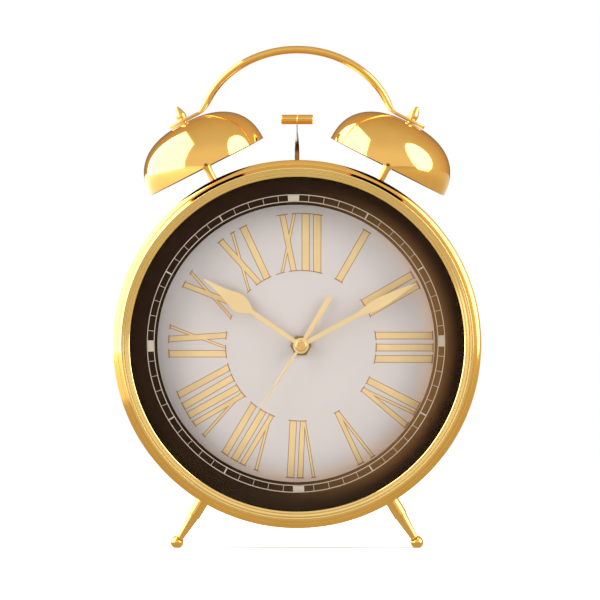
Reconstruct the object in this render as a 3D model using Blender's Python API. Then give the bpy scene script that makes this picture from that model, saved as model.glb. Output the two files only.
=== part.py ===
"""Round twin-bell alarm clock, built from its separate pieces at their real size.

Metres, +Z up. The dial faces -Y, and the origin lies on the floor under the middle of the clock.
Depths are counted backwards from the front of the bezel. In the dial frame X points right,
Y points down and Z points back, so a turn about Z is clockwise as seen from the front.
"""

import math

import bmesh
import bpy
from mathutils import Matrix, Vector

# Fits and faceting
FIT = 0.0003                    # gap between pieces that touch
SHAFT_FIT = 0.00025             # gap round a small turning part
OVERRUN = 0.0005                # how far a cut runs past the face it opens
MERGE_DISTANCE = 0.000001
SHARP_ANGLE = math.radians(35)
CASE_SIDES = 40
BELL_SIDES = 24
SMALL_SIDES = 8
TUBE_SIDES = 12
ARC_STEPS = 4

# Case and bezel
BEZEL_RADIUS = 0.1
BEZEL_ROLL_RADIUS = 0.00185
BEZEL_GROOVE = 0.0007
BEZEL_OUTER_BAND = 0.0019
BEZEL_INNER_BAND = 0.002
BEZEL_LIP_WIDTH = 0.0017
BEZEL_BAND_STEP = 0.0007
BEZEL_LIP_DEPTH = 0.0053
BEZEL_SKIRT_WALL = 0.0016
BEZEL_SKIRT_DEPTH = 0.011
DRUM_WALL = 0.0011
DRUM_LENGTH = 0.0583
DIAL_LEDGE_WIDTH = 0.003
DIAL_LEDGE_THICKNESS = 0.0012

# Dial stack
GLASS_THICKNESS = 0.002
DARK_RING_THICKNESS = 0.0012
DARK_RING_WIDTH = 0.0247        # from the bezel's rim to the dark ring's bore
DIAL_SPACER_LENGTH = 0.0102
DIAL_SPACER_WALL = 0.0041
DIAL_THICKNESS = 0.0008

# Back cover and its screws
LID_THICKNESS = 0.0012
LID_FLANGE_WALL = 0.0012
LID_FLANGE_LENGTH = 0.0085
LID_EDGE_BEVEL = 0.0008
SCREW_SHANK_RADIUS = 0.0012
SCREW_HEAD_RADIUS = 0.0026
SCREW_HEAD_HEIGHT = 0.0016
SCREW_REACH = 0.0075
SCREW_LUG_RADIUS = 0.0032
SCREW_LUG_LENGTH = 0.0119
SCREW_LUG_SINK = 0.0004
SCREW_COUNT = 4
SCREW_START_ANGLE = math.radians(45)

# Legs
LEG_ANGLE = math.radians(31.2)
LEG_LEDGE_MARGIN = 0.0014       # from the dial's ledge to the front legs' studs
LEG_FLANGE_MARGIN = 0.0047      # from the rear legs' barrels to the back cover's flange
LEG_STUD_RADIUS = 0.0016
LEG_STUD_LENGTH = 0.0065
LEG_BARREL_RADIUS = 0.0037
LEG_BARREL_LENGTH = 0.0109
LEG_TAPER_LENGTH = 0.0136
LEG_NECK_RADIUS = 0.002
FOOT_BALL_RADIUS = 0.0034
FOOT_BALL_REACH = 0.0276        # from the drum to the ball's centre
FOOT_FLAT = 0.00035             # how much the ball is cut flat

# Bells, posts and finials
BELL_ANGLE = math.radians(27)
BELL_LEDGE_MARGIN = 0.0032      # from the dial's ledge to the strap that the posts go through
BELL_RADIUS = 0.0345
BELL_HEIGHT = 0.027
BELL_WALL = 0.0012
BELL_FULLNESS = 2.4             # exponent of the dome's curve; 2 would be an ellipse
BELL_RIM_GAP = 0.0081           # from the bezel's rim to a bell's rim, along the bell's axis
BELL_OUTER_STEPS = 7
BELL_INNER_STEPS = 5
POST_RADIUS = 0.0022
POST_THREAD_RADIUS = 0.0015
POST_INNER_LENGTH = 0.0075
POST_OUTER_LENGTH = 0.0082
POST_NUT_RADIUS = 0.0034
POST_NUT_HEIGHT = 0.0024
FINIAL_FOOT_RADIUS = 0.0024
FINIAL_BELLY_RADIUS = 0.00285
FINIAL_NECK_RADIUS = 0.0015
FINIAL_TIP_RADIUS = 0.0011
FINIAL_HEIGHT = 0.0073
FINIAL_BORE_DEPTH = 0.0053
FINIAL_SHARES = ((0.12, "foot"), (0.36, "belly"), (0.55, "belly"), (0.8, "neck"), (0.94, "tip"))

# Handle
ROD_RADIUS = 0.0021
HANDLE_FOOT_INSET = 0.00886     # from a tab's middle to the arch's widest place, sideways
HANDLE_FOOT_DROP = 0.00703      # from a tab's middle down to the centre of the arch
HANDLE_RISE = 0.046
HANDLE_START_ANGLE = math.radians(24)
HANDLE_ARC_STEPS = 14
HANDLE_BEND_STEPS = 4
TAB_THICKNESS = 0.0017
TAB_WIDTH = 0.0072
TAB_OUTER_REACH = 0.0083
TAB_INNER_REACH = 0.009
TAB_END_SHARES = ((1.0, 0.45), (0.87, 0.85), (0.55, 1.0), (0.0, 1.0), (-0.5, 1.0))
SECTION_SIDES = 8

# Hammer and its drive
HAMMER_SWING = math.radians(15.2)   # to each side, a hair before the head meets a bell
PIVOT_INSET = 0.023             # from the drum's inside down to the pivot
HAMMER_HEAD_RISE = 0.0482       # above the pivot
HAMMER_HEAD_RADIUS = 0.0026
HAMMER_HEAD_LENGTH = 0.0173
HAMMER_HEAD_BEVEL = 0.0004
STEM_WIDTH = 0.0025
STEM_THICKNESS = 0.0008
STEM_TWIST_START = 0.026
STEM_TWIST_LENGTH = 0.016
STEM_TWIST_STEPS = 6
STEM_TOP_SINK = 0.0012          # how far the stem reaches past the head's under side
STEM_EYE_RADIUS = 0.003
PIVOT_PIN_RADIUS = 0.001
PIVOT_PIN_HEAD_RADIUS = 0.002
PIVOT_PIN_HEAD_THICKNESS = 0.0008
ARMATURE_SIZE = 0.006
ARMATURE_HEIGHT = 0.008
ARMATURE_DROP = 0.015           # below the pivot
HAMMER_SLOT_MARGIN = 0.0012
HAMMER_SLOT_HALF_WIDTH = 0.0024
STRAP_THICKNESS = 0.0012
STRAP_MARGIN = 0.0006           # from the bracket's plate to the strap's edge
STRAP_HALF_ANGLE = math.radians(30.5)
STRAP_STEPS = 8
BRACKET_PLATE_THICKNESS = 0.0012
BRACKET_HALF_WIDTH = 0.009
BRACKET_FOOT = 0.006            # how far the plate reaches below the armature's middle
HAMMER_CORE_RADIUS = 0.002
HAMMER_CORE_LENGTH = 0.0134
HAMMER_CORE_THREAD_RADIUS = 0.0014
HAMMER_CORE_THREAD_LENGTH = 0.003
HAMMER_COIL_RADIUS = 0.0055
HAMMER_COIL_MARGIN = 0.001
CORE_TAB_THICKNESS = 0.0012
CORE_TAB_HALF_DEPTH = 0.004

# Place of the movement, which sits a little off the case's axis
MOVEMENT_RIGHT = 0.0021
MOVEMENT_DROP = 0.0009

# Movement housing
PLATE_HALF_WIDTH = 0.03
PLATE_TOP = 0.028
PLATE_BOTTOM = 0.03
FRONT_PLATE_THICKNESS = 0.002
BUSH_RADIUS = 0.004
BUSH_BORE = 0.0032
BUSH_REACH = 0.0021             # in front of the dial
NUT_RADIUS = 0.0059
NUT_THICKNESS = 0.0015
MIDDLE_PLATE_THICKNESS = 0.0008
MIDDLE_PLATE_LEFT = 0.02
MIDDLE_PLATE_RIGHT = 0.0165
MIDDLE_PLATE_TOP = 0.012
MIDDLE_PLATE_BOTTOM_GAP = 0.0013    # from the shell's bottom to the middle plate
PILLAR_RADIUS = 0.0015
PILLAR_INSET = 0.003
SHELL_WALL = 0.0012
PIVOT_RADIUS = 0.00035
PIVOT_FIT = 0.0002
PIVOT_REACH = 0.0006

# Concentric hand arbors
SECOND_ARBOR_RADIUS = 0.0005
MINUTE_TUBE_RADIUS = 0.0013
HOUR_TUBE_RADIUS = 0.0021
ALARM_TUBE_RADIUS = 0.0029

# Hands
HAND_THICKNESS = 0.0005
HAND_PITCH = 0.0013             # from one hand's front to the next
ALARM_HAND_FRONT = 0.0166
ARBOR_PROUD = 0.0003            # how far a tube stands in front of its hand
SHANK_WIDTH = 0.0024
HAND_HUB_RADIUS = 0.0043
HUB_STEPS = 10
HOUR_HAND_ANGLE = math.radians(304.5)
HOUR_HAND_LENGTH = 0.064
HOUR_SPADE_START = 0.0325
HOUR_SPADE_WIDTH = 0.0098
HOUR_SPADE_SHARES = ((0.0, 0.25), (0.1, 0.62), (0.17, 0.86), (0.24, 0.98), (0.29, 1.0), (0.38, 0.9),
                     (0.48, 0.7), (0.6, 0.49), (0.74, 0.31), (0.88, 0.17), (1.0, 0.05))
MINUTE_HAND_ANGLE = math.radians(61.5)
MINUTE_HAND_LENGTH = 0.0716
MINUTE_LEAF_START = 0.0355
MINUTE_LEAF_WIDTH = 0.0058
MINUTE_LEAF_SHARES = ((0.0, 0.42), (0.07, 0.56), (0.15, 0.78), (0.24, 0.95), (0.32, 1.0), (0.42, 0.97),
                      (0.56, 0.82), (0.72, 0.57), (0.87, 0.3), (1.0, 0.06))
ALARM_HAND_ANGLE = math.radians(30.9)
ALARM_HAND_LENGTH = 0.0314
ALARM_HAND_ROOT_WIDTH = 0.0022
ALARM_HAND_TIP_WIDTH = 0.003
SECOND_HAND_ANGLE = math.radians(212.8)
SECOND_HAND_LENGTH = 0.04
SECOND_HAND_ROOT_WIDTH = 0.0015
SECOND_HAND_TIP_WIDTH = 0.0007
SECOND_CAP_RADIUS = 0.0031
SECOND_CAP_HEIGHT = 0.0011

# Gear teeth, as shares of the module and of the tooth pitch
ADDENDUM_SHARE = 0.7
DEDENDUM_SHARE = 0.95
TOOTH_ROOT_SHARE = 0.3
TOOTH_TIP_SHARE = 0.1

# Gear train: modules and tooth counts
CENTRE_MODULE = 0.0004
CENTRE_TEETH = 48
THIRD_PINION_TEETH = 6
THIRD_TEETH = 45
SECOND_PINION_TEETH = 6
SECOND_MODULE = CENTRE_MODULE * (CENTRE_TEETH + THIRD_PINION_TEETH) / (THIRD_TEETH + SECOND_PINION_TEETH)
MINUTE_MODULE = 0.00072
MINUTE_PINION_TEETH = 8
MOTION_TEETH = 24
MOTION_PINION_TEETH = 8
HOUR_TEETH = 32
HOUR_MODULE = MINUTE_MODULE * (MINUTE_PINION_TEETH + MOTION_TEETH) / (MOTION_PINION_TEETH + HOUR_TEETH)
SETTING_TEETH = 8
ALARM_MODULE = 0.0006
ALARM_TEETH = 32
ALARM_SETTING_TEETH = 8
ROTOR_MODULE = 0.0003
SECOND_WHEEL_TEETH = 36
INTERMEDIATE_PINION_TEETH = 6
INTERMEDIATE_TEETH = 30
ROTOR_PINION_TEETH = 6

# Gear train: thicknesses, and the gaps between wheels, counted from the front to the back
WHEEL_THICKNESS = 0.001
PINION_OVERLAP = 0.0002         # how far a pinion stands out of its wheel on each side
ALARM_WHEEL_GAP = 0.0013
HOUR_WHEEL_GAP = 0.0012
MOTION_WHEEL_GAP = 0.0015
CENTRE_WHEEL_GAP = 0.002
MIDDLE_PLATE_GAP = 0.0008
THIRD_WHEEL_GAP = 0.0004
SECOND_WHEEL_GAP = 0.0013
INTERMEDIATE_WHEEL_GAP = 0.0006
SHELL_GAP = 0.0004
ARBOR_RADIUS = 0.0005
MINUTE_TUBE_TAIL = 0.0004
MOTION_STUD_RADIUS = 0.0008
MOTION_HUB_RADIUS = 0.0016
THIRD_DIRECTION = math.radians(180)
MOTION_DIRECTION = math.radians(90)
SETTING_DIRECTION = math.radians(90)
ALARM_SETTING_DIRECTION = math.radians(0)
INTERMEDIATE_DIRECTION = math.radians(-60)
ROTOR_DIRECTION = math.radians(-20)

# Motor and circuit board
ROTOR_MAGNET_RADIUS = 0.003
ROTOR_MAGNET_GAP = 0.0006       # from the middle plate
ROTOR_MAGNET_LENGTH = 0.003
STATOR_GAP = 0.001              # from the middle plate
STATOR_THICKNESS = 0.0008
STATOR_RING_RADIUS = 0.0046
STATOR_HALF_WIDTH = 0.007
STATOR_ARM = 0.003
STATOR_REACH = 0.0142           # from the rotor's axis to the far edge
STATOR_BAR = 0.0035
STATOR_WINDOW_START = 0.0052
ROTOR_GAP = 0.0006
COIL_RADIUS = 0.0034
BOARD_THICKNESS = 0.0012
BOARD_GAP = 0.0018              # from the middle plate
BOARD_SIDE_GAP = 0.0023         # from the shell's side to the board
BOARD_RIGHT = 0.003
BOARD_TOP_GAP = 0.0008          # from the shell's top to the board
BOARD_BOTTOM = 0.013
BOARD_POST_INSET = 0.0035

# Setting shafts and knobs
SETTING_SHAFT_RADIUS = 0.0012
SETTING_PIVOT_RADIUS = 0.0008
KNOB_GAP = 0.0012
KNOB_LENGTH = 0.0078
KNOB_COLLAR_RADIUS = 0.0036
KNOB_COLLAR_LENGTH = 0.0014
TIME_KNOB_RADIUS = 0.008
ALARM_KNOB_RADIUS = 0.0062
KNOB_EDGE = 0.0006
KNOB_BORE_DEPTH = 0.0054
KNOB_SIDES = 16

# Alarm switch
SWITCH_RISE = 0.042
SWITCH_TRAVEL = 0.004
SWITCH_NECK_WIDTH = 0.003
SWITCH_NECK_HEIGHT = 0.0024
SWITCH_KNOB_WIDTH = 0.007
SWITCH_KNOB_HEIGHT = 0.005
SWITCH_KNOB_THICKNESS = 0.0024
SWITCH_PLATE_WIDTH = 0.012
SWITCH_PLATE_HEIGHT = 0.007
SWITCH_PLATE_THICKNESS = 0.001

# Battery compartment
BATTERY_RADIUS = 0.00725
BATTERY_LENGTH = 0.0505
BATTERY_NUB_RADIUS = 0.0027
BATTERY_NUB_LENGTH = 0.0015
BATTERY_OFFSET = 0.046          # to the left of the case's axis
BATTERY_SIDE_ROOM = 0.0007
BATTERY_SPRING_ROOM = 0.005
BATTERY_PLATE_ROOM = 0.0035
TRAY_WALL = 0.0012
TRAY_FLANGE = 0.0023
TRAY_FLANGE_THICKNESS = 0.001
CONTACT_THICKNESS = 0.0005
CONTACT_WIDTH = 0.009
CONTACT_HEIGHT = 0.011
SPRING_BEND_SHARE = 0.86
COVER_THICKNESS = 0.0013
COVER_TRAVEL = 0.02
COVER_LAP = 0.0002
RAIL_WALL = 0.001
RAIL_LIP = 0.0009
RAIL_LIP_THICKNESS = 0.0006
RAIL_SINK = 0.0003

# Finishes: colour, roughness and how metallic each one is
FINISHES = {
    "gold": ((0.83, 0.58, 0.2), 0.16, 1.0),
    "satin": ((0.78, 0.6, 0.33), 0.35, 1.0),
    "glass": ((0.95, 0.97, 0.97), 0.02, 0.0),
    "dark": ((0.03, 0.018, 0.012), 0.2, 0.0),
    "dial": ((0.7, 0.64, 0.61), 0.6, 0.0),
    "black": ((0.02, 0.02, 0.02), 0.4, 0.0),
    "plastic": ((0.75, 0.74, 0.7), 0.5, 0.0),
    "steel": ((0.6, 0.6, 0.6), 0.35, 1.0),
    "brass": ((0.7, 0.5, 0.2), 0.35, 1.0),
    "copper": ((0.6, 0.22, 0.08), 0.4, 0.6),
    "board": ((0.03, 0.16, 0.06), 0.5, 0.0),
    "battery": ((0.1, 0.1, 0.11), 0.35, 0.2),
}

# Depths that follow from the sizes above
DRUM_RADIUS = BEZEL_RADIUS - BEZEL_SKIRT_WALL - FIT
DRUM_BORE = DRUM_RADIUS - DRUM_WALL
DARK_RING_BORE = BEZEL_RADIUS - DARK_RING_WIDTH
FOOT_BALL_DISTANCE = DRUM_RADIUS + FIT + FOOT_BALL_REACH
STACK_RADIUS = DRUM_BORE - FIT
DRUM_FRONT = BEZEL_LIP_DEPTH + FIT
DRUM_REAR = DRUM_FRONT + DRUM_LENGTH
GLASS_FRONT = BEZEL_LIP_DEPTH + FIT
RING_FRONT = GLASS_FRONT + GLASS_THICKNESS + FIT
SPACER_FRONT = RING_FRONT + DARK_RING_THICKNESS + FIT
DIAL_FRONT = SPACER_FRONT + DIAL_SPACER_LENGTH + FIT
DIAL_REAR = DIAL_FRONT + DIAL_THICKNESS
LEDGE_FRONT = DIAL_REAR + FIT
FRONT_PLATE_FRONT = DIAL_REAR + FIT
FRONT_PLATE_REAR = FRONT_PLATE_FRONT + FRONT_PLATE_THICKNESS
ALARM_WHEEL_FRONT = FRONT_PLATE_REAR + ALARM_WHEEL_GAP
HOUR_WHEEL_FRONT = ALARM_WHEEL_FRONT + WHEEL_THICKNESS + HOUR_WHEEL_GAP
MOTION_WHEEL_FRONT = HOUR_WHEEL_FRONT + WHEEL_THICKNESS + MOTION_WHEEL_GAP
CENTRE_WHEEL_FRONT = MOTION_WHEEL_FRONT + WHEEL_THICKNESS + CENTRE_WHEEL_GAP
MIDDLE_PLATE_FRONT = CENTRE_WHEEL_FRONT + WHEEL_THICKNESS + MIDDLE_PLATE_GAP
MIDDLE_PLATE_REAR = MIDDLE_PLATE_FRONT + MIDDLE_PLATE_THICKNESS
THIRD_WHEEL_FRONT = MIDDLE_PLATE_REAR + THIRD_WHEEL_GAP
SECOND_WHEEL_FRONT = THIRD_WHEEL_FRONT + WHEEL_THICKNESS + SECOND_WHEEL_GAP
INTERMEDIATE_WHEEL_FRONT = SECOND_WHEEL_FRONT + WHEEL_THICKNESS + INTERMEDIATE_WHEEL_GAP
ROTOR_MAGNET_FRONT = MIDDLE_PLATE_REAR + ROTOR_MAGNET_GAP
STATOR_FRONT = MIDDLE_PLATE_REAR + STATOR_GAP
BOARD_FRONT = MIDDLE_PLATE_REAR + BOARD_GAP
BOARD_LEFT = PLATE_HALF_WIDTH - SHELL_WALL - BOARD_SIDE_GAP
BOARD_TOP = PLATE_TOP - SHELL_WALL - BOARD_TOP_GAP
MIDDLE_PLATE_BOTTOM = PLATE_BOTTOM - SHELL_WALL - MIDDLE_PLATE_BOTTOM_GAP
SHELL_FRONT = FRONT_PLATE_REAR + FIT
SHELL_INNER_DEPTH = INTERMEDIATE_WHEEL_FRONT + WHEEL_THICKNESS + SHELL_GAP
SHELL_REAR = SHELL_INNER_DEPTH + SHELL_WALL
BUSH_FRONT = DIAL_FRONT - BUSH_REACH
LID_FRONT = DRUM_REAR + FIT
LID_REAR = LID_FRONT + LID_THICKNESS
LID_BORE = DRUM_RADIUS + FIT
LID_RADIUS = LID_BORE + LID_FLANGE_WALL
LEG_FRONT_DEPTH = LEDGE_FRONT + DIAL_LEDGE_THICKNESS + LEG_LEDGE_MARGIN + LEG_STUD_RADIUS
LEG_REAR_DEPTH = LID_REAR - LID_FLANGE_LENGTH - LEG_FLANGE_MARGIN - LEG_BARREL_RADIUS
SCREW_RING = DRUM_BORE - SCREW_LUG_RADIUS + SCREW_LUG_SINK
KNOB_FRONT = LID_REAR + KNOB_GAP
KNOB_REAR = KNOB_FRONT + KNOB_LENGTH
BELL_RIM_DISTANCE = BEZEL_RADIUS + BELL_RIM_GAP
BELL_CROWN_DISTANCE = BELL_RIM_DISTANCE + BELL_HEIGHT
POST_SHOULDER = BELL_CROWN_DISTANCE - BELL_WALL - FIT
TAB_DISTANCE = BELL_CROWN_DISTANCE + FIT + TAB_THICKNESS / 2
FINIAL_START = TAB_DISTANCE + TAB_THICKNESS / 2 + FIT
HANDLE_HALF_SPAN = TAB_DISTANCE * math.sin(BELL_ANGLE) - HANDLE_FOOT_INSET
HANDLE_CENTRE = TAB_DISTANCE * math.cos(BELL_ANGLE) - HANDLE_FOOT_DROP
PIVOT_RISE = DRUM_BORE - PIVOT_INSET
STRAP_RADIUS = DRUM_BORE - FIT
HAMMER_SLOT_HALF_LENGTH = ((DRUM_RADIUS - PIVOT_RISE) * math.tan(HAMMER_SWING) + STEM_WIDTH / 2
                           + HAMMER_SLOT_MARGIN)
HAMMER_CORE_START = ((ARMATURE_DROP + ARMATURE_HEIGHT / 2) * math.sin(HAMMER_SWING) + ARMATURE_SIZE / 2
                     + FIT)
BRACKET_PLATE_OFFSET = HAMMER_COIL_RADIUS + FIT
STRAP_HALF_WIDTH = BRACKET_PLATE_OFFSET + BRACKET_PLATE_THICKNESS + STRAP_MARGIN
BELL_DEPTH = LEDGE_FRONT + DIAL_LEDGE_THICKNESS + BELL_LEDGE_MARGIN + STRAP_HALF_WIDTH

# Place of the dial frame
CASE_HEIGHT = FOOT_BALL_DISTANCE * math.cos(LEG_ANGLE) + FOOT_BALL_RADIUS - FOOT_FLAT
FRONT_MOST = min(0.0, BELL_DEPTH - BELL_RADIUS)
FRONT_Y = -(FRONT_MOST + KNOB_REAR) / 2


# Outlines

def circle(radius, sides, centre=(0.0, 0.0)):
    """Return the corners of a circle."""
    turns = [2 * math.pi * step / sides for step in range(sides)]
    return [(centre[0] + radius * math.cos(turn), centre[1] + radius * math.sin(turn)) for turn in turns]


def rectangle(left, right, low, high):
    """Return the corners of a rectangle."""
    return [(left, low), (right, low), (right, high), (left, high)]


def arc(centre, radius, start, end, steps):
    """Return points on an arc of the radial plane, from one angle to another."""
    angles = [start + (end - start) * step / steps for step in range(steps + 1)]
    return [(centre[0] + radius * math.cos(angle), centre[1] + radius * math.sin(angle)) for angle in angles]


def gear_outline(teeth, module, phase):
    """Return the outline of a spur gear with one tooth centred on the phase angle."""
    pitch = 2 * math.pi / teeth
    pitch_radius = teeth * module / 2
    tip = pitch_radius + ADDENDUM_SHARE * module
    root = pitch_radius - DEDENDUM_SHARE * module
    corners = []
    for tooth in range(teeth):
        middle = phase + tooth * pitch
        for radius, share in ((root, -TOOTH_ROOT_SHARE), (tip, -TOOTH_TIP_SHARE),
                              (tip, TOOTH_TIP_SHARE), (root, TOOTH_ROOT_SHARE)):
            angle = middle + share * pitch
            corners.append((radius * math.cos(angle), radius * math.sin(angle)))
    return corners


def mesh_phase(teeth, phase, direction, other_teeth):
    """Return the phase of a gear that meshes with another one lying in the given direction from it."""
    offset = (phase - direction) * teeth / (2 * math.pi)
    return direction + math.pi + (0.5 - offset) * 2 * math.pi / other_teeth


def centre_distance(teeth, other_teeth, module):
    """Return the distance between the axes of two meshing gears."""
    return (teeth + other_teeth) * module / 2


def polar(origin, distance, direction):
    """Return the point at a distance and direction from another point of the dial frame."""
    return (origin[0] + distance * math.cos(direction), origin[1] + distance * math.sin(direction))


# Bodies

def turned(outline, sides):
    """Turn (radius, height) points about Z; an outline that starts on the axis also ends there."""
    body = bmesh.new()
    points = [body.verts.new((radius, 0, height)) for radius, height in outline]
    following = points[1:] + points[:1] if outline[0][0] > 0 else points[1:]
    edges = [body.edges.new(pair) for pair in zip(points, following)]
    bmesh.ops.spin(body, geom=points + edges, cent=(0, 0, 0), axis=(0, 0, 1), angle=2 * math.pi,
                   steps=sides, use_merge=True)
    bmesh.ops.remove_doubles(body, verts=body.verts, dist=MERGE_DISTANCE)
    return body


def loop_at(body, outline, height):
    """Add a closed loop of edges at a height."""
    points = [body.verts.new((x, y, height)) for x, y in outline]
    edges = [body.edges.new(pair) for pair in zip(points, points[1:] + points[:1])]
    return points, edges


def wall_between(body, low, high):
    """Join two loops that have the same number of points."""
    count = len(low)
    for index in range(count):
        following = (index + 1) % count
        body.faces.new((low[index], low[following], high[following], high[index]))


def stacked(levels, bores=()):
    """Stack prisms along Z, given as (outline, start, end), with bores right through them all."""
    body = bmesh.new()
    rims = []
    for outline, start, end in levels:
        low, low_edges = loop_at(body, outline, start)
        high, high_edges = loop_at(body, outline, end)
        wall_between(body, low, high)
        rims.append((low_edges, high_edges))
    front = list(rims[0][0])
    rear = list(rims[-1][1])
    for bore in bores:
        low, low_edges = loop_at(body, bore, levels[0][1])
        high, high_edges = loop_at(body, bore, levels[-1][2])
        wall_between(body, low, high)
        front += low_edges
        rear += high_edges
    bmesh.ops.triangle_fill(body, use_beauty=True, edges=front)
    bmesh.ops.triangle_fill(body, use_beauty=True, edges=rear)
    for before, after in zip(rims, rims[1:]):
        bmesh.ops.triangle_fill(body, use_beauty=True, edges=before[1] + after[0])
    return body


def lofted(sections):
    """Skin a row of sections that have the same number of points, and close both ends."""
    body = bmesh.new()
    rings = [[body.verts.new(point) for point in section] for section in sections]
    for before, after in zip(rings, rings[1:]):
        wall_between(body, before, after)
    body.faces.new(rings[0])
    body.faces.new(rings[-1])
    return body


def add_box(body, low, high):
    """Add a box given by its lowest and highest corners."""
    size = Vector(high) - Vector(low)
    middle = (Vector(high) + Vector(low)) / 2
    bmesh.ops.create_cube(body, size=1, matrix=Matrix.Translation(middle) @ Matrix.Diagonal((*size, 1)))


def add_rod(body, radius, start, end, sides=SMALL_SIDES, turn=Matrix()):
    """Add a cylinder from start to end, whose parts of the way that differ set its direction."""
    way = Vector(end) - Vector(start)
    middle = (Vector(end) + Vector(start)) / 2
    place = turn @ Matrix.Translation(middle) @ way.to_track_quat("Z", "Y").to_matrix().to_4x4()
    bmesh.ops.create_cone(body, cap_ends=True, segments=sides, radius1=radius, radius2=radius,
                          depth=way.length, matrix=place)


# Objects

def finish(name, colour, roughness, metallic):
    """Make a material with the finish of a piece."""
    made = bpy.data.materials.new(name)
    made.use_nodes = True
    shader = made.node_tree.nodes["Principled BSDF"]
    shader.inputs["Base Color"].default_value = (*colour, 1)
    shader.inputs["Roughness"].default_value = roughness
    shader.inputs["Metallic"].default_value = metallic
    return made


def frame(name, location, rotation=(0, 0, 0)):
    """Make an empty that carries pieces."""
    empty = bpy.data.objects.new(name, None)
    empty.location = location
    empty.rotation_euler = rotation
    bpy.context.scene.collection.objects.link(empty)
    return empty


def add_object(name, body, parent, location, rotation):
    """Turn a body into an object under its frame."""
    bmesh.ops.recalc_face_normals(body, faces=body.faces)
    mesh = bpy.data.meshes.new(name)
    body.to_mesh(mesh)
    body.free()
    made = bpy.data.objects.new(name, mesh)
    made.parent = parent
    made.location = location
    made.rotation_euler = rotation
    bpy.context.scene.collection.objects.link(made)
    return made


def piece(name, body, look, parent, location=(0, 0, 0), rotation=(0, 0, 0)):
    """Make one named piece of the clock."""
    made = add_object(name, body, parent, location, rotation)
    made.data.materials.append(look)
    made.data.shade_smooth()
    made.data.set_sharp_from_angle(angle=SHARP_ANGLE)
    return made


def combine(target, name, body, operation):
    """Cut a body out of a piece, or join it to the piece."""
    tool = add_object(name, body, target.parent, target.location, target.rotation_euler)
    tool.hide_render = True
    tool.display_type = "WIRE"
    modifier = target.modifiers.new(name, "BOOLEAN")
    modifier.operation = operation
    modifier.solver = "EXACT"
    modifier.object = tool


# Case

def make_bezel(dial, gold):
    roll_centre = BEZEL_RADIUS - BEZEL_ROLL_RADIUS
    roll = arc((roll_centre, BEZEL_ROLL_RADIUS), BEZEL_ROLL_RADIUS, 0, -math.pi, ARC_STEPS)
    band_start = BEZEL_RADIUS - 2 * BEZEL_ROLL_RADIUS
    groove_depth = BEZEL_ROLL_RADIUS + BEZEL_GROOVE
    inner_band = band_start - BEZEL_OUTER_BAND
    lip_start = inner_band - BEZEL_INNER_BAND
    lip_end = lip_start - BEZEL_LIP_WIDTH
    lip_front = groove_depth + 2 * BEZEL_BAND_STEP
    outline = [(BEZEL_RADIUS, BEZEL_SKIRT_DEPTH)] + roll
    outline += [(band_start, groove_depth), (inner_band, groove_depth),
                (inner_band, groove_depth + BEZEL_BAND_STEP), (lip_start, lip_front - BEZEL_BAND_STEP / 2),
                (lip_start, lip_front), (lip_end, lip_front + BEZEL_BAND_STEP), (lip_end, BEZEL_LIP_DEPTH),
                (BEZEL_RADIUS - BEZEL_SKIRT_WALL, BEZEL_LIP_DEPTH),
                (BEZEL_RADIUS - BEZEL_SKIRT_WALL, BEZEL_SKIRT_DEPTH)]
    piece("bezel", turned(outline, CASE_SIDES), gold, dial)


def drum_lugs():
    """Return the four screw lugs inside the drum."""
    lugs = bmesh.new()
    for x, y in screw_places():
        add_rod(lugs, SCREW_LUG_RADIUS, (x, y, DRUM_REAR - SCREW_LUG_LENGTH), (x, y, DRUM_REAR))
    return lugs


def drum_holes():
    """Return the holes for the screws, the legs, the bell posts and the hammer."""
    holes = bmesh.new()
    for x, y in screw_places():
        add_rod(holes, SCREW_SHANK_RADIUS + FIT, (x, y, DRUM_REAR - SCREW_REACH - 2 * FIT),
                (x, y, DRUM_REAR + OVERRUN))
    for side in (-1, 1):
        for depth in (LEG_FRONT_DEPTH, LEG_REAR_DEPTH):
            add_radial_hole(holes, LEG_STUD_RADIUS + FIT, math.pi - side * LEG_ANGLE, depth)
        add_radial_hole(holes, POST_THREAD_RADIUS + FIT, side * BELL_ANGLE, BELL_DEPTH)
    add_box(holes, (-HAMMER_SLOT_HALF_LENGTH, -DRUM_RADIUS - OVERRUN, BELL_DEPTH - HAMMER_SLOT_HALF_WIDTH),
            (HAMMER_SLOT_HALF_LENGTH, -DRUM_BORE * math.cos(STRAP_HALF_ANGLE / 2),
             BELL_DEPTH + HAMMER_SLOT_HALF_WIDTH))
    return holes


def add_radial_hole(holes, radius, angle, depth):
    """Add a hole through the drum's wall at an angle clockwise from the top."""
    outward = Vector((math.sin(angle), -math.cos(angle), 0))
    middle = Vector((0, 0, depth))
    start = middle + outward * (DRUM_BORE - DRUM_WALL)
    end = middle + outward * (DRUM_RADIUS + DRUM_WALL)
    add_rod(holes, radius, start, end)


def screw_places():
    """Return the places of the back cover's screws."""
    angles = [SCREW_START_ANGLE + 2 * math.pi * screw / SCREW_COUNT for screw in range(SCREW_COUNT)]
    return [polar((0, 0), SCREW_RING, angle) for angle in angles]


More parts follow.
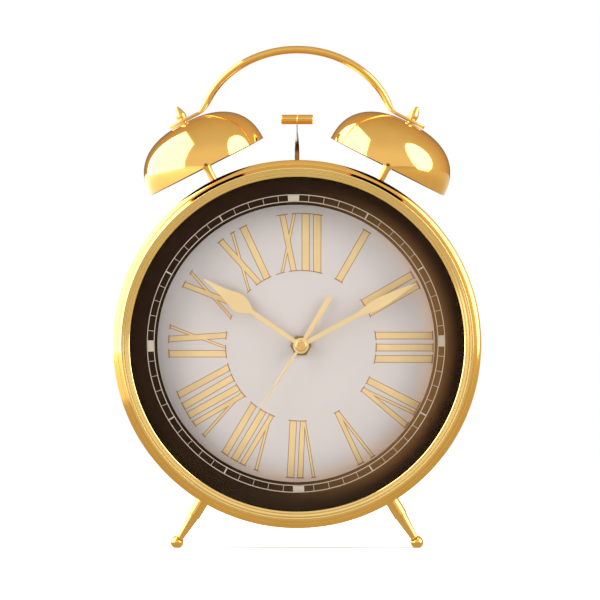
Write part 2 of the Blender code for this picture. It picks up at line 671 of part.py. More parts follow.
def make_case(dial, looks):
    gold = looks["gold"]
    make_bezel(dial, gold)
    ledge_rear = LEDGE_FRONT + DIAL_LEDGE_THICKNESS
    ledge_radius = DRUM_BORE - DIAL_LEDGE_WIDTH
    outline = [(DRUM_RADIUS, DRUM_FRONT), (DRUM_RADIUS, DRUM_REAR), (DRUM_BORE, DRUM_REAR),
               (DRUM_BORE, ledge_rear), (ledge_radius, ledge_rear), (ledge_radius, LEDGE_FRONT),
               (DRUM_BORE, LEDGE_FRONT), (DRUM_BORE, DRUM_FRONT)]
    drum = piece("case_drum", turned(outline, CASE_SIDES), gold, dial)
    combine(drum, "drum_lugs", drum_lugs(), "UNION")
    combine(drum, "drum_holes", drum_holes(), "DIFFERENCE")

    whole_face = circle(STACK_RADIUS, CASE_SIDES)
    glass = stacked([(whole_face, GLASS_FRONT, GLASS_FRONT + GLASS_THICKNESS)])
    piece("glass", glass, looks["glass"], dial)
    ring = stacked([(whole_face, RING_FRONT, RING_FRONT + DARK_RING_THICKNESS)],
                   [circle(DARK_RING_BORE, CASE_SIDES)])
    piece("minute_ring", ring, looks["dark"], dial)
    spacer = stacked([(whole_face, SPACER_FRONT, SPACER_FRONT + DIAL_SPACER_LENGTH)],
                     [circle(STACK_RADIUS - DIAL_SPACER_WALL, CASE_SIDES)])
    piece("dial_spacer", spacer, looks["black"], dial)
    bush_hole = circle(BUSH_RADIUS + FIT, TUBE_SIDES, (MOVEMENT_RIGHT, MOVEMENT_DROP))
    face = stacked([(whole_face, DIAL_FRONT, DIAL_REAR)], [bush_hole])
    piece("dial", face, looks["dial"], dial)


# Back cover

def tray_sides():
    """Return the tray's inner left, right, top and bottom in the dial frame."""
    half = BATTERY_RADIUS + BATTERY_SIDE_ROOM
    reach = BATTERY_LENGTH / 2
    return (-BATTERY_OFFSET - half, -BATTERY_OFFSET + half, -reach - BATTERY_PLATE_ROOM,
            reach + BATTERY_SPRING_ROOM)


def grown(sides, margin):
    """Return a rectangle's sides moved outwards by a margin."""
    left, right, low, high = sides
    return (left - margin, right + margin, low - margin, high + margin)


def cover_sides():
    """Return the battery cover's left, right, top and bottom."""
    return grown(tray_sides(), TRAY_WALL + COVER_LAP)


def rail_outline():
    """Return the outline of a rail that grips the cover's lower edge, as (down, depth) points."""
    edge = cover_sides()[3] + FIT
    lip_front = LID_REAR + FIT + COVER_THICKNESS + FIT
    lip_rear = lip_front + RAIL_LIP_THICKNESS
    return [(edge, LID_REAR - RAIL_SINK), (edge + RAIL_WALL, LID_REAR - RAIL_SINK),
            (edge + RAIL_WALL, lip_rear), (edge - RAIL_LIP, lip_rear), (edge - RAIL_LIP, lip_front),
            (edge, lip_front)]


def lid_rails():
    """Return the two rails that the battery cover slides in."""
    left, right, top, bottom = cover_sides()
    rails = bmesh.new()
    for side in (-1, 1):
        flip = (top + bottom) if side < 0 else 0
        section = [(flip + side * down, depth) for down, depth in rail_outline()]
        ends = []
        for x in (left - COVER_TRAVEL, right):
            ends.append([rails.verts.new((x, down, depth)) for down, depth in section])
        wall_between(rails, ends[0], ends[1])
        rails.faces.new(ends[0])
        rails.faces.new(ends[1])
    return rails


def lid_holes():
    """Return the back cover's window, slot, shaft holes and screw holes."""
    holes = bmesh.new()
    front = LID_FRONT - OVERRUN
    rear = LID_REAR + OVERRUN
    left, right, top, bottom = grown(tray_sides(), TRAY_WALL + FIT)
    add_box(holes, (left, top, front), (right, bottom, rear))
    half_width = SWITCH_NECK_WIDTH / 2 + FIT
    half_height = SWITCH_NECK_HEIGHT / 2 + FIT
    add_box(holes, (-half_width, -SWITCH_RISE - half_height, front),
            (half_width + SWITCH_TRAVEL, -SWITCH_RISE + half_height, rear))
    for shaft_x, shaft_y in (TIME_SETTING_AXIS, ALARM_SETTING_AXIS):
        x = shaft_x + MOVEMENT_RIGHT
        y = shaft_y + MOVEMENT_DROP
        add_rod(holes, SETTING_SHAFT_RADIUS + FIT, (x, y, front), (x, y, rear))
    for x, y in screw_places():
        add_rod(holes, SCREW_SHANK_RADIUS + FIT, (x, y, front), (x, y, rear))
    return holes


def make_back(dial, looks):
    flange_front = LID_REAR - LID_FLANGE_LENGTH
    outline = [(0, LID_FRONT), (LID_BORE, LID_FRONT), (LID_BORE, flange_front), (LID_RADIUS, flange_front),
               (LID_RADIUS, LID_REAR - LID_EDGE_BEVEL), (LID_RADIUS - LID_EDGE_BEVEL, LID_REAR),
               (0, LID_REAR)]
    lid = piece("back_cover", turned(outline, CASE_SIDES), looks["gold"], dial)
    combine(lid, "lid_rails", lid_rails(), "UNION")
    combine(lid, "lid_holes", lid_holes(), "DIFFERENCE")

    head_front = LID_REAR + FIT
    screw = [(0, DRUM_REAR - SCREW_REACH), (SCREW_SHANK_RADIUS, DRUM_REAR - SCREW_REACH),
             (SCREW_SHANK_RADIUS, head_front), (SCREW_HEAD_RADIUS, head_front),
             (SCREW_HEAD_RADIUS, head_front + SCREW_HEAD_HEIGHT / 2),
             (SCREW_HEAD_RADIUS / 2, head_front + SCREW_HEAD_HEIGHT), (0, head_front + SCREW_HEAD_HEIGHT)]
    for number, (x, y) in enumerate(screw_places(), 1):
        piece(f"back_cover_screw_{number}", turned(screw, SMALL_SIDES), looks["steel"], dial, (x, y, 0))


def make_battery(dial, looks):
    left, right, top, bottom = tray_sides()
    floor = battery_floor()
    tray = bmesh.new()
    wall_left, wall_right, wall_top, wall_bottom = grown(tray_sides(), TRAY_WALL)
    add_box(tray, (wall_left, wall_top, floor - TRAY_WALL), (wall_right, wall_bottom, LID_REAR))
    tray_piece = piece("battery_tray", tray, looks["black"], dial)
    flange = bmesh.new()
    flange_left, flange_right, flange_top, flange_bottom = grown(tray_sides(), TRAY_WALL + TRAY_FLANGE)
    flange_rear = LID_FRONT - FIT
    add_box(flange, (flange_left, flange_top, flange_rear - TRAY_FLANGE_THICKNESS),
            (flange_right, flange_bottom, flange_rear))
    combine(tray_piece, "tray_flange", flange, "UNION")
    hollow = bmesh.new()
    add_box(hollow, (left, top, floor), (right, bottom, LID_REAR + OVERRUN))
    combine(tray_piece, "tray_hollow", hollow, "DIFFERENCE")

    axis_depth = floor + FIT + BATTERY_RADIUS
    barrel_end = BATTERY_LENGTH / 2 - BATTERY_NUB_LENGTH
    battery = stacked([(circle(BATTERY_RADIUS, TUBE_SIDES), -BATTERY_LENGTH / 2, barrel_end),
                       (circle(BATTERY_NUB_RADIUS, TUBE_SIDES), barrel_end, BATTERY_LENGTH / 2)])
    piece("battery", battery, looks["battery"], dial, (-BATTERY_OFFSET, 0, axis_depth), (math.pi / 2, 0, 0))
    make_contacts(dial, looks["steel"], axis_depth)
    left, right, top, bottom = cover_sides()
    cover = stacked([(rectangle(left, right, top, bottom), 0, COVER_THICKNESS)])
    piece("battery_cover", cover, looks["black"], dial, (0, 0, LID_REAR + FIT))


def battery_floor():
    """Return the depth of the tray's floor, which lets the battery lie just under the cover."""
    return LID_REAR - 2 * (BATTERY_RADIUS + FIT)


def make_contacts(dial, steel, axis_depth):
    """Make the flat contact at the battery's nub and the bent leaf at its base."""
    top, bottom = tray_sides()[2:]
    half_width = CONTACT_WIDTH / 2
    near = axis_depth - CONTACT_HEIGHT / 2
    far = axis_depth + CONTACT_HEIGHT / 2
    flat = bmesh.new()
    nub_end = -BATTERY_LENGTH / 2 - FIT
    add_box(flat, (-BATTERY_OFFSET - half_width, top + FIT, near),
            (-BATTERY_OFFSET + half_width, nub_end, far))
    piece("battery_plate_contact", flat, steel, dial)
    base = BATTERY_LENGTH / 2 + FIT
    wall = bottom - FIT
    peak = base + (wall - base) * (1 - SPRING_BEND_SHARE)
    side = [(wall, near), (peak, axis_depth - CONTACT_THICKNESS), (peak, axis_depth + CONTACT_THICKNESS),
            (wall, far), (wall - CONTACT_THICKNESS, far), (base, axis_depth + CONTACT_THICKNESS),
            (base, axis_depth - CONTACT_THICKNESS), (wall - CONTACT_THICKNESS, near)]
    ends = [[(x, down, depth) for down, depth in side]
            for x in (-BATTERY_OFFSET - half_width, -BATTERY_OFFSET + half_width)]
    piece("battery_leaf_contact", lofted(ends), steel, dial)


def make_switch(dial, looks):
    plate_rear = LID_FRONT - FIT
    knob_front = LID_REAR + FIT
    levels = []
    for width, height, start, end in (
            (SWITCH_PLATE_WIDTH, SWITCH_PLATE_HEIGHT, plate_rear - SWITCH_PLATE_THICKNESS, plate_rear),
            (SWITCH_NECK_WIDTH, SWITCH_NECK_HEIGHT, plate_rear, knob_front),
            (SWITCH_KNOB_WIDTH, SWITCH_KNOB_HEIGHT, knob_front, knob_front + SWITCH_KNOB_THICKNESS)):
        levels.append((rectangle(-width / 2, width / 2, -height / 2, height / 2), start, end))
    piece("alarm_switch", stacked(levels), looks["black"], dial, (0, -SWITCH_RISE, 0))


# Legs, bells and handle

def make_legs(looks):
    shoulder = DRUM_RADIUS + FIT
    taper_start = shoulder + LEG_BARREL_LENGTH
    neck = math.asin(LEG_NECK_RADIUS / FOOT_BALL_RADIUS)
    ball = arc((0, FOOT_BALL_DISTANCE), FOOT_BALL_RADIUS, neck - math.pi / 2, math.pi / 2, ARC_STEPS)
    ball = [(LEG_NECK_RADIUS, ball[0][1])] + ball[1:-1] + [(0, FOOT_BALL_DISTANCE + FOOT_BALL_RADIUS)]
    outline = [(0, shoulder - LEG_STUD_LENGTH), (LEG_STUD_RADIUS, shoulder - LEG_STUD_LENGTH),
               (LEG_STUD_RADIUS, shoulder), (LEG_BARREL_RADIUS, shoulder), (LEG_BARREL_RADIUS, taper_start),
               (LEG_NECK_RADIUS, taper_start + LEG_TAPER_LENGTH)] + ball
    for side, side_name in ((-1, "left"), (1, "right")):
        for depth, end_name in ((LEG_FRONT_DEPTH, "front"), (LEG_REAR_DEPTH, "rear")):
            angle = math.pi - side * LEG_ANGLE
            leg = turned(outline, TUBE_SIDES)
            to_leg = Matrix.Rotation(-angle, 4, "Y")
            cut = bmesh.ops.bisect_plane(leg, geom=leg.verts[:] + leg.edges[:] + leg.faces[:],
                                         dist=MERGE_DISTANCE, plane_co=to_leg @ Vector((0, 0, -CASE_HEIGHT)),
                                         plane_no=to_leg @ Vector((0, 0, -1)), clear_outer=True)
            rim = [part for part in cut["geom_cut"] if isinstance(part, bmesh.types.BMEdge)]
            bmesh.ops.edgenet_fill(leg, edges=rim)
            name = f"leg_{end_name}_{side_name}"
            holder = frame(f"{name}_axis", (0, FRONT_Y + depth, CASE_HEIGHT), (0, angle, 0))
            piece(name, leg, looks["gold"], holder)


def bell_outline():
    """Return the half section of a bell: a hollow full dome with a hole in its crown."""
    hole = POST_THREAD_RADIUS + FIT
    power = 2 / BELL_FULLNESS
    outline = []
    for radius, height, steps, order in ((BELL_RADIUS, BELL_HEIGHT, BELL_OUTER_STEPS, 1),
                                         (BELL_RADIUS - BELL_WALL, BELL_HEIGHT - BELL_WALL,
                                          BELL_INNER_STEPS, -1)):
        start = math.acos((hole / radius) ** (1 / power))
        angles = [start * (1 - step / steps) for step in range(steps + 1)]
        side = [(radius * math.cos(angle) ** power, BELL_RIM_DISTANCE + height * math.sin(angle) ** power)
                for angle in angles]
        outline += side[::order]
    return outline


def finial_outline():
    """Return the half section of a finial nut with its blind bore."""
    radii = {"foot": FINIAL_FOOT_RADIUS, "belly": FINIAL_BELLY_RADIUS, "neck": FINIAL_NECK_RADIUS,
             "tip": FINIAL_TIP_RADIUS}
    bore = POST_THREAD_RADIUS + FIT
    bore_end = FINIAL_START + FINIAL_BORE_DEPTH
    outline = [(0, bore_end), (bore, bore_end), (bore, FINIAL_START), (FINIAL_FOOT_RADIUS, FINIAL_START)]
    outline += [(radii[part], FINIAL_START + share * FINIAL_HEIGHT) for share, part in FINIAL_SHARES]
    return outline + [(0, FINIAL_START + FINIAL_HEIGHT)]


def make_bells(looks):
    inner_end = DRUM_BORE - POST_INNER_LENGTH
    shoulder = DRUM_RADIUS + FIT
    post = [(0, inner_end), (POST_THREAD_RADIUS, inner_end), (POST_THREAD_RADIUS, shoulder),
            (POST_RADIUS, shoulder), (POST_RADIUS, POST_SHOULDER), (POST_THREAD_RADIUS, POST_SHOULDER),
            (POST_THREAD_RADIUS, POST_SHOULDER + POST_OUTER_LENGTH), (0, POST_SHOULDER + POST_OUTER_LENGTH)]
    nut_top = STRAP_RADIUS - STRAP_THICKNESS - FIT
    nut_bore = [circle(POST_THREAD_RADIUS + FIT, SMALL_SIDES)]
    middle = (0, FRONT_Y + BELL_DEPTH, CASE_HEIGHT)
    for side, side_name in ((-1, "left"), (1, "right")):
        axis = frame(f"bell_axis_{side_name}", middle, (0, side * BELL_ANGLE, 0))
        piece(f"bell_{side_name}", turned(bell_outline(), BELL_SIDES), looks["gold"], axis)
        piece(f"bell_post_{side_name}", turned(post, SMALL_SIDES), looks["gold"], axis)
        nut = stacked([(circle(POST_NUT_RADIUS, 6), nut_top - POST_NUT_HEIGHT, nut_top)], nut_bore)
        piece(f"post_nut_{side_name}", nut, looks["steel"], axis)
        piece(f"finial_{side_name}", turned(finial_outline(), TUBE_SIDES), looks["gold"], axis)


def section_round(place, tangent, half_width, half_thickness):
    """Return a section of the handle, square to its path in the XZ plane."""
    normal = Vector((-tangent.z, 0, tangent.x))
    corner_share = half_thickness / half_width
    points = []
    for step in range(SECTION_SIDES):
        angle = 2 * math.pi * (step + 0.5) / SECTION_SIDES
        across = math.copysign(abs(math.cos(angle)) ** corner_share, math.cos(angle))
        up = math.copysign(abs(math.sin(angle)) ** corner_share, math.sin(angle))
        points.append(place + normal * (up * half_thickness) + Vector((0, across * half_width, 0)))
    return points


def handle_path():
    """Return the right half of the handle's path: place, half width and half thickness, tab end first."""
    outward = Vector((math.cos(BELL_ANGLE), 0, -math.sin(BELL_ANGLE)))
    seat = Vector((math.sin(BELL_ANGLE), 0, math.cos(BELL_ANGLE))) * TAB_DISTANCE
    path = []
    for share, width_share in TAB_END_SHARES:
        reach = TAB_OUTER_REACH if share > 0 else TAB_INNER_REACH
        path.append((seat + outward * (share * reach), width_share * TAB_WIDTH / 2, TAB_THICKNESS / 2))
    bend_start = seat - outward * TAB_INNER_REACH
    centre = Vector((0, 0, HANDLE_CENTRE))
    first = ellipse_point(centre, HANDLE_START_ANGLE)
    direction = Vector((-HANDLE_HALF_SPAN * math.sin(HANDLE_START_ANGLE), 0,
                        HANDLE_RISE * math.cos(HANDLE_START_ANGLE))).normalized()
    span = (first - bend_start).length
    for step in range(HANDLE_BEND_STEPS):
        share = step / HANDLE_BEND_STEPS
        place = curved(bend_start, -outward * span, first, direction * span, share)
        blend = share * share * (3 - 2 * share)
        half_width = TAB_WIDTH / 2 + (ROD_RADIUS - TAB_WIDTH / 2) * blend
        half_thickness = TAB_THICKNESS / 2 + (ROD_RADIUS - TAB_THICKNESS / 2) * blend
        path.append((place, half_width, half_thickness))
    for step in range(HANDLE_ARC_STEPS // 2 + 1):
        angle = HANDLE_START_ANGLE + (math.pi / 2 - HANDLE_START_ANGLE) * 2 * step / HANDLE_ARC_STEPS
        path.append((ellipse_point(centre, angle), ROD_RADIUS, ROD_RADIUS))
    return path


def ellipse_point(centre, angle):
    """Return a point on the handle's arch."""
    return centre + Vector((HANDLE_HALF_SPAN * math.cos(angle), 0, HANDLE_RISE * math.sin(angle)))


def curved(start, leave, end, arrive, share):
    """Return a point on the cubic curve that leaves and arrives with the given directions."""
    square = share * share
    cube = square * share
    return (start * (2 * cube - 3 * square + 1) + leave * (cube - 2 * square + share)
            + end * (3 * square - 2 * cube) + arrive * (cube - square))


def make_handle(crown, looks):
    half = handle_path()
    mirrored = [(Vector((-place.x, 0, place.z)), half_width, half_thickness)
                for place, half_width, half_thickness in half[-2::-1]]
    path = half + mirrored
    sections = []
    for index, (place, half_width, half_thickness) in enumerate(path):
        before = path[max(index - 1, 0)][0]
        after = path[min(index + 1, len(path) - 1)][0]
        sections.append(section_round(place, (after - before).normalized(), half_width, half_thickness))
    handle = piece("handle", lofted(sections), looks["gold"], crown)
    holes = bmesh.new()
    for side in (-1, 1):
        lean = Matrix.Rotation(side * BELL_ANGLE, 4, "Y")
        add_rod(holes, POST_THREAD_RADIUS + FIT, (0, 0, TAB_DISTANCE - TAB_THICKNESS),
                (0, 0, TAB_DISTANCE + TAB_THICKNESS), turn=lean)
    combine(handle, "handle_holes", holes, "DIFFERENCE")


# Hammer

def stem_sections():
    """Return the stem's sections: a flat strip that twists a quarter turn below the head."""
    top = HAMMER_HEAD_RISE - HAMMER_HEAD_RADIUS + STEM_TOP_SINK
    heights = [(-ARMATURE_DROP, 0), (STEM_TWIST_START, 0)]
    for step in range(1, STEM_TWIST_STEPS + 1):
        share = step / STEM_TWIST_STEPS
        heights.append((STEM_TWIST_START + share * STEM_TWIST_LENGTH, share * math.pi / 2))
    heights.append((top, math.pi / 2))
    corners = rectangle(-STEM_WIDTH / 2, STEM_WIDTH / 2, -STEM_THICKNESS / 2, STEM_THICKNESS / 2)
    sections = []
    for height, twist in heights:
        turn = Matrix.Rotation(twist, 3, "Z")
        sections.append([turn @ Vector((x, y, 0)) + Vector((0, 0, height)) for x, y in corners])
    return sections


def make_hammer(looks):
    pivot = frame("hammer_pivot", (0, FRONT_Y + BELL_DEPTH, CASE_HEIGHT + PIVOT_RISE))
    make_hammer_stem(pivot, looks)
    make_hammer_head(pivot, looks)
    pin_end = BRACKET_PLATE_OFFSET + BRACKET_PLATE_THICKNESS + PIVOT_PIN_HEAD_THICKNESS
    head_rear = -STEM_THICKNESS / 2 - FIT
    head_front = head_rear - PIVOT_PIN_HEAD_THICKNESS
    pin = [(0, head_front), (PIVOT_PIN_HEAD_RADIUS, head_front), (PIVOT_PIN_HEAD_RADIUS, head_rear),
           (PIVOT_PIN_RADIUS, head_rear), (PIVOT_PIN_RADIUS, pin_end), (0, pin_end)]
    piece("hammer_pivot_pin", turned(pin, SMALL_SIDES), looks["steel"], pivot, rotation=(-math.pi / 2, 0, 0))


def make_hammer_stem(pivot, looks):
    """Make the stem with its eye, and the armature at its lower end."""
    stem = piece("hammer_stem", lofted(stem_sections()), looks["steel"], pivot)
    eye = bmesh.new()
    add_rod(eye, STEM_EYE_RADIUS, (0, -STEM_THICKNESS / 2, 0), (0, STEM_THICKNESS / 2, 0), TUBE_SIDES)
    combine(stem, "stem_eye", eye, "UNION")
    armature = bmesh.new()
    half = ARMATURE_SIZE / 2
    add_box(armature, (-half, -half, -ARMATURE_DROP - ARMATURE_HEIGHT / 2),
            (half, half, -ARMATURE_DROP + ARMATURE_HEIGHT / 2))
    combine(stem, "stem_armature", armature, "UNION")
    bore = bmesh.new()
    add_rod(bore, PIVOT_PIN_RADIUS + SHAFT_FIT, (0, -STEM_THICKNESS, 0), (0, STEM_THICKNESS, 0), TUBE_SIDES)
    combine(stem, "stem_bore", bore, "DIFFERENCE")


def make_hammer_head(pivot, looks):
    """Make the head, which has a socket for the stem's top."""
    half_length = HAMMER_HEAD_LENGTH / 2
    head_face = HAMMER_HEAD_RADIUS - HAMMER_HEAD_BEVEL
    outline = [(0, -half_length), (head_face, -half_length),
               (HAMMER_HEAD_RADIUS, -half_length + HAMMER_HEAD_BEVEL),
               (HAMMER_HEAD_RADIUS, half_length - HAMMER_HEAD_BEVEL), (head_face, half_length),
               (0, half_length)]
    head = piece("hammer_head", turned(outline, TUBE_SIDES), looks["gold"], pivot, (0, 0, HAMMER_HEAD_RISE),
                 (0, math.pi / 2, 0))
    socket = bmesh.new()
    socket_radius = STEM_WIDTH / 2 + FIT
    add_rod(socket, socket_radius, (HAMMER_HEAD_RADIUS - STEM_TOP_SINK - FIT, 0, 0),
            (HAMMER_HEAD_RADIUS + OVERRUN, 0, 0))
    combine(head, "head_socket", socket, "DIFFERENCE")


def strap():
    """Return the strap along the drum's inside, from one bell post to the other."""
    body = bmesh.new()
    inner = STRAP_RADIUS - STRAP_THICKNESS
    corners = rectangle(inner, STRAP_RADIUS, -STRAP_HALF_WIDTH, STRAP_HALF_WIDTH)
    start = Matrix.Rotation(-STRAP_HALF_ANGLE, 3, "Y")
    points = [body.verts.new(start @ Vector((0, y, radius))) for radius, y in corners]
    face = body.faces.new(points)
    bmesh.ops.spin(body, geom=[face], cent=(0, 0, 0), axis=(0, 1, 0), angle=2 * STRAP_HALF_ANGLE,
                   steps=STRAP_STEPS, use_duplicate=False)
    return body


def bracket_plate_outline(foot, right):
    """Return the outline of the plate behind the stem, whose top follows the strap."""
    radius = STRAP_RADIUS - STRAP_THICKNESS / 2
    top = arc((0, 0), radius, math.acos(right / radius), math.acos(-BRACKET_HALF_WIDTH / radius),
              STRAP_STEPS)
    return [(-BRACKET_HALF_WIDTH, foot), (right, foot)] + top


def make_hammer_drive(crown, looks):
    coil_height = PIVOT_RISE - ARMATURE_DROP
    core_end = HAMMER_CORE_START + HAMMER_CORE_LENGTH
    make_bracket(crown, looks, coil_height, core_end + FIT)
    core = stacked([(circle(HAMMER_CORE_RADIUS, SMALL_SIDES), HAMMER_CORE_START, core_end),
                    (circle(HAMMER_CORE_THREAD_RADIUS, SMALL_SIDES), core_end,
                     core_end + HAMMER_CORE_THREAD_LENGTH)])
    piece("hammer_core", core, looks["steel"], crown, (0, 0, coil_height), (0, math.pi / 2, 0))
    coil = stacked([(circle(HAMMER_COIL_RADIUS, TUBE_SIDES), HAMMER_CORE_START + HAMMER_COIL_MARGIN,
                     core_end - FIT)], [circle(HAMMER_CORE_RADIUS + FIT, SMALL_SIDES)])
    piece("hammer_coil", coil, looks["copper"], crown, (0, 0, coil_height), (0, math.pi / 2, 0))


def make_bracket(crown, looks, coil_height, tab_front):
    """Make the bracket: a strap, a plate behind the stem, and a tab that holds the coil's core."""
    bracket = piece("hammer_bracket", strap(), looks["steel"], crown)
    plate_rear = BRACKET_PLATE_OFFSET + BRACKET_PLATE_THICKNESS
    foot = coil_height - BRACKET_FOOT
    outline = bracket_plate_outline(foot, tab_front + CORE_TAB_THICKNESS)
    plate = lofted([[(x, depth, height) for x, height in outline]
                    for depth in (BRACKET_PLATE_OFFSET, plate_rear)])
    combine(bracket, "bracket_plate", plate, "UNION")
    tab = bmesh.new()
    add_box(tab, (tab_front, -CORE_TAB_HALF_DEPTH, foot),
            (tab_front + CORE_TAB_THICKNESS, plate_rear, coil_height + BRACKET_FOOT))
    combine(bracket, "bracket_tab", tab, "UNION")
    holes = bmesh.new()
    slot_low = STRAP_RADIUS * math.cos(STRAP_HALF_ANGLE / 2) - STRAP_THICKNESS
    add_box(holes, (-HAMMER_SLOT_HALF_LENGTH, -HAMMER_SLOT_HALF_WIDTH, slot_low),
            (HAMMER_SLOT_HALF_LENGTH, HAMMER_SLOT_HALF_WIDTH, DRUM_RADIUS))
    for side in (-1, 1):
        lean = Matrix.Rotation(side * BELL_ANGLE, 4, "Y")
        add_rod(holes, POST_THREAD_RADIUS + FIT, (0, 0, STRAP_RADIUS - 2 * STRAP_THICKNESS),
                (0, 0, DRUM_RADIUS), turn=lean)
    add_rod(holes, PIVOT_PIN_RADIUS + SHAFT_FIT, (0, BRACKET_PLATE_OFFSET - OVERRUN, PIVOT_RISE),
            (0, plate_rear + OVERRUN, PIVOT_RISE))
    add_rod(holes, HAMMER_CORE_THREAD_RADIUS + FIT, (tab_front - OVERRUN, 0, coil_height),
            (tab_front + CORE_TAB_THICKNESS + OVERRUN, 0, coil_height))
    combine(bracket, "bracket_holes", holes, "DIFFERENCE")


# Movement: axes and phases

MOTION_AXIS = polar((0, 0), centre_distance(MINUTE_PINION_TEETH, MOTION_TEETH, MINUTE_MODULE),
                    MOTION_DIRECTION)
TIME_SETTING_AXIS = polar(MOTION_AXIS, centre_distance(MOTION_TEETH, SETTING_TEETH, MINUTE_MODULE),
                          SETTING_DIRECTION)
ALARM_SETTING_AXIS = polar((0, 0), centre_distance(ALARM_TEETH, ALARM_SETTING_TEETH, ALARM_MODULE),
                           ALARM_SETTING_DIRECTION)
THIRD_AXIS = polar((0, 0), centre_distance(CENTRE_TEETH, THIRD_PINION_TEETH, CENTRE_MODULE),
                   THIRD_DIRECTION)
INTERMEDIATE_REACH = centre_distance(SECOND_WHEEL_TEETH, INTERMEDIATE_PINION_TEETH, ROTOR_MODULE)
INTERMEDIATE_AXIS = polar((0, 0), INTERMEDIATE_REACH, INTERMEDIATE_DIRECTION)
ROTOR_REACH = centre_distance(INTERMEDIATE_TEETH, ROTOR_PINION_TEETH, ROTOR_MODULE)
ROTOR_AXIS = polar(INTERMEDIATE_AXIS, ROTOR_REACH, ROTOR_DIRECTION)


def wheel_rear(front):
    """Return the depth of a wheel's rear face."""
    return front + WHEEL_THICKNESS


def pinion_span(wheel_front):
    """Return the front and rear of a pinion that meshes with a wheel."""
    return wheel_front - PINION_OVERLAP, wheel_rear(wheel_front) + PINION_OVERLAP


def make_second_train(movement, looks):
    """Make the seconds arbor, the third wheel and the centre wheel."""
    brass = looks["brass"]
    cap_rear = hand_front(3) + HAND_THICKNESS
    pinion_start, pinion_end = pinion_span(THIRD_WHEEL_FRONT)
    arbor = circle(SECOND_ARBOR_RADIUS, SMALL_SIDES)
    pivot = circle(PIVOT_RADIUS, SMALL_SIDES)
    pivot_end = SHELL_INNER_DEPTH + PIVOT_REACH
    second = stacked([(arbor, hand_front(3) - ARBOR_PROUD, pinion_start),
                      (gear_outline(SECOND_PINION_TEETH, SECOND_MODULE, 0), pinion_start, pinion_end),
                      (arbor, pinion_end, SECOND_WHEEL_FRONT),
                      (gear_outline(SECOND_WHEEL_TEETH, ROTOR_MODULE, 0), SECOND_WHEEL_FRONT,
                       wheel_rear(SECOND_WHEEL_FRONT)),
                      (pivot, wheel_rear(SECOND_WHEEL_FRONT), pivot_end)])
    piece("second_arbor", second, brass, movement)
    make_second_hand(movement, looks, cap_rear)

    third_phase = mesh_phase(SECOND_PINION_TEETH, 0, THIRD_DIRECTION, THIRD_TEETH)
    centre_pinion_start, centre_pinion_end = pinion_span(CENTRE_WHEEL_FRONT)
    arbor = circle(ARBOR_RADIUS, SMALL_SIDES)
    third = stacked([(pivot, FRONT_PLATE_REAR - PIVOT_REACH, centre_pinion_start),
                     (gear_outline(THIRD_PINION_TEETH, CENTRE_MODULE, third_phase), centre_pinion_start,
                      centre_pinion_end),
                     (arbor, centre_pinion_end, THIRD_WHEEL_FRONT),
                     (gear_outline(THIRD_TEETH, SECOND_MODULE, third_phase), THIRD_WHEEL_FRONT,
                      wheel_rear(THIRD_WHEEL_FRONT)),
                     (pivot, wheel_rear(THIRD_WHEEL_FRONT), pivot_end)])
    piece("third_wheel", third, brass, movement, (*THIRD_AXIS, 0))

    centre_phase = mesh_phase(THIRD_PINION_TEETH, third_phase, THIRD_DIRECTION + math.pi, CENTRE_TEETH)
    centre = stacked([(gear_outline(CENTRE_TEETH, CENTRE_MODULE, centre_phase), CENTRE_WHEEL_FRONT,
                       wheel_rear(CENTRE_WHEEL_FRONT))], [circle(MINUTE_TUBE_RADIUS + SHAFT_FIT, TUBE_SIDES)])
    piece("centre_wheel", centre, brass, movement)


def make_rotor_train(movement, looks):
    """Make the intermediate wheel and the rotor."""
    pivot = circle(PIVOT_RADIUS, SMALL_SIDES)
    plate_pivot = MIDDLE_PLATE_REAR - PIVOT_REACH
    pivot_end = SHELL_INNER_DEPTH + PIVOT_REACH
    phase = mesh_phase(SECOND_WHEEL_TEETH, 0, INTERMEDIATE_DIRECTION, INTERMEDIATE_PINION_TEETH)
    pinion_start, pinion_end = pinion_span(SECOND_WHEEL_FRONT)
    intermediate = stacked([(pivot, plate_pivot, pinion_start),
                            (gear_outline(INTERMEDIATE_PINION_TEETH, ROTOR_MODULE, phase), pinion_start,
                             pinion_end),
                            (pivot, pinion_end, INTERMEDIATE_WHEEL_FRONT),
                            (gear_outline(INTERMEDIATE_TEETH, ROTOR_MODULE, phase), INTERMEDIATE_WHEEL_FRONT,
                             wheel_rear(INTERMEDIATE_WHEEL_FRONT)),
                            (pivot, wheel_rear(INTERMEDIATE_WHEEL_FRONT), pivot_end)])
    piece("intermediate_wheel", intermediate, looks["plastic"], movement, (*INTERMEDIATE_AXIS, 0))

    rotor_phase = mesh_phase(INTERMEDIATE_TEETH, phase, ROTOR_DIRECTION, ROTOR_PINION_TEETH)
    rotor_pinion_start = pinion_span(INTERMEDIATE_WHEEL_FRONT)[0]
    rotor_pinion_end = wheel_rear(INTERMEDIATE_WHEEL_FRONT)
    magnet_end = ROTOR_MAGNET_FRONT + ROTOR_MAGNET_LENGTH
    rotor = stacked([(pivot, plate_pivot, ROTOR_MAGNET_FRONT),
                     (circle(ROTOR_MAGNET_RADIUS, TUBE_SIDES), ROTOR_MAGNET_FRONT, magnet_end),
                     (pivot, magnet_end, rotor_pinion_start),
                     (gear_outline(ROTOR_PINION_TEETH, ROTOR_MODULE, rotor_phase), rotor_pinion_start,
                      rotor_pinion_end),
                     (pivot, rotor_pinion_end, pivot_end)])
    piece("rotor", rotor, looks["dark"], movement, (*ROTOR_AXIS, 0))


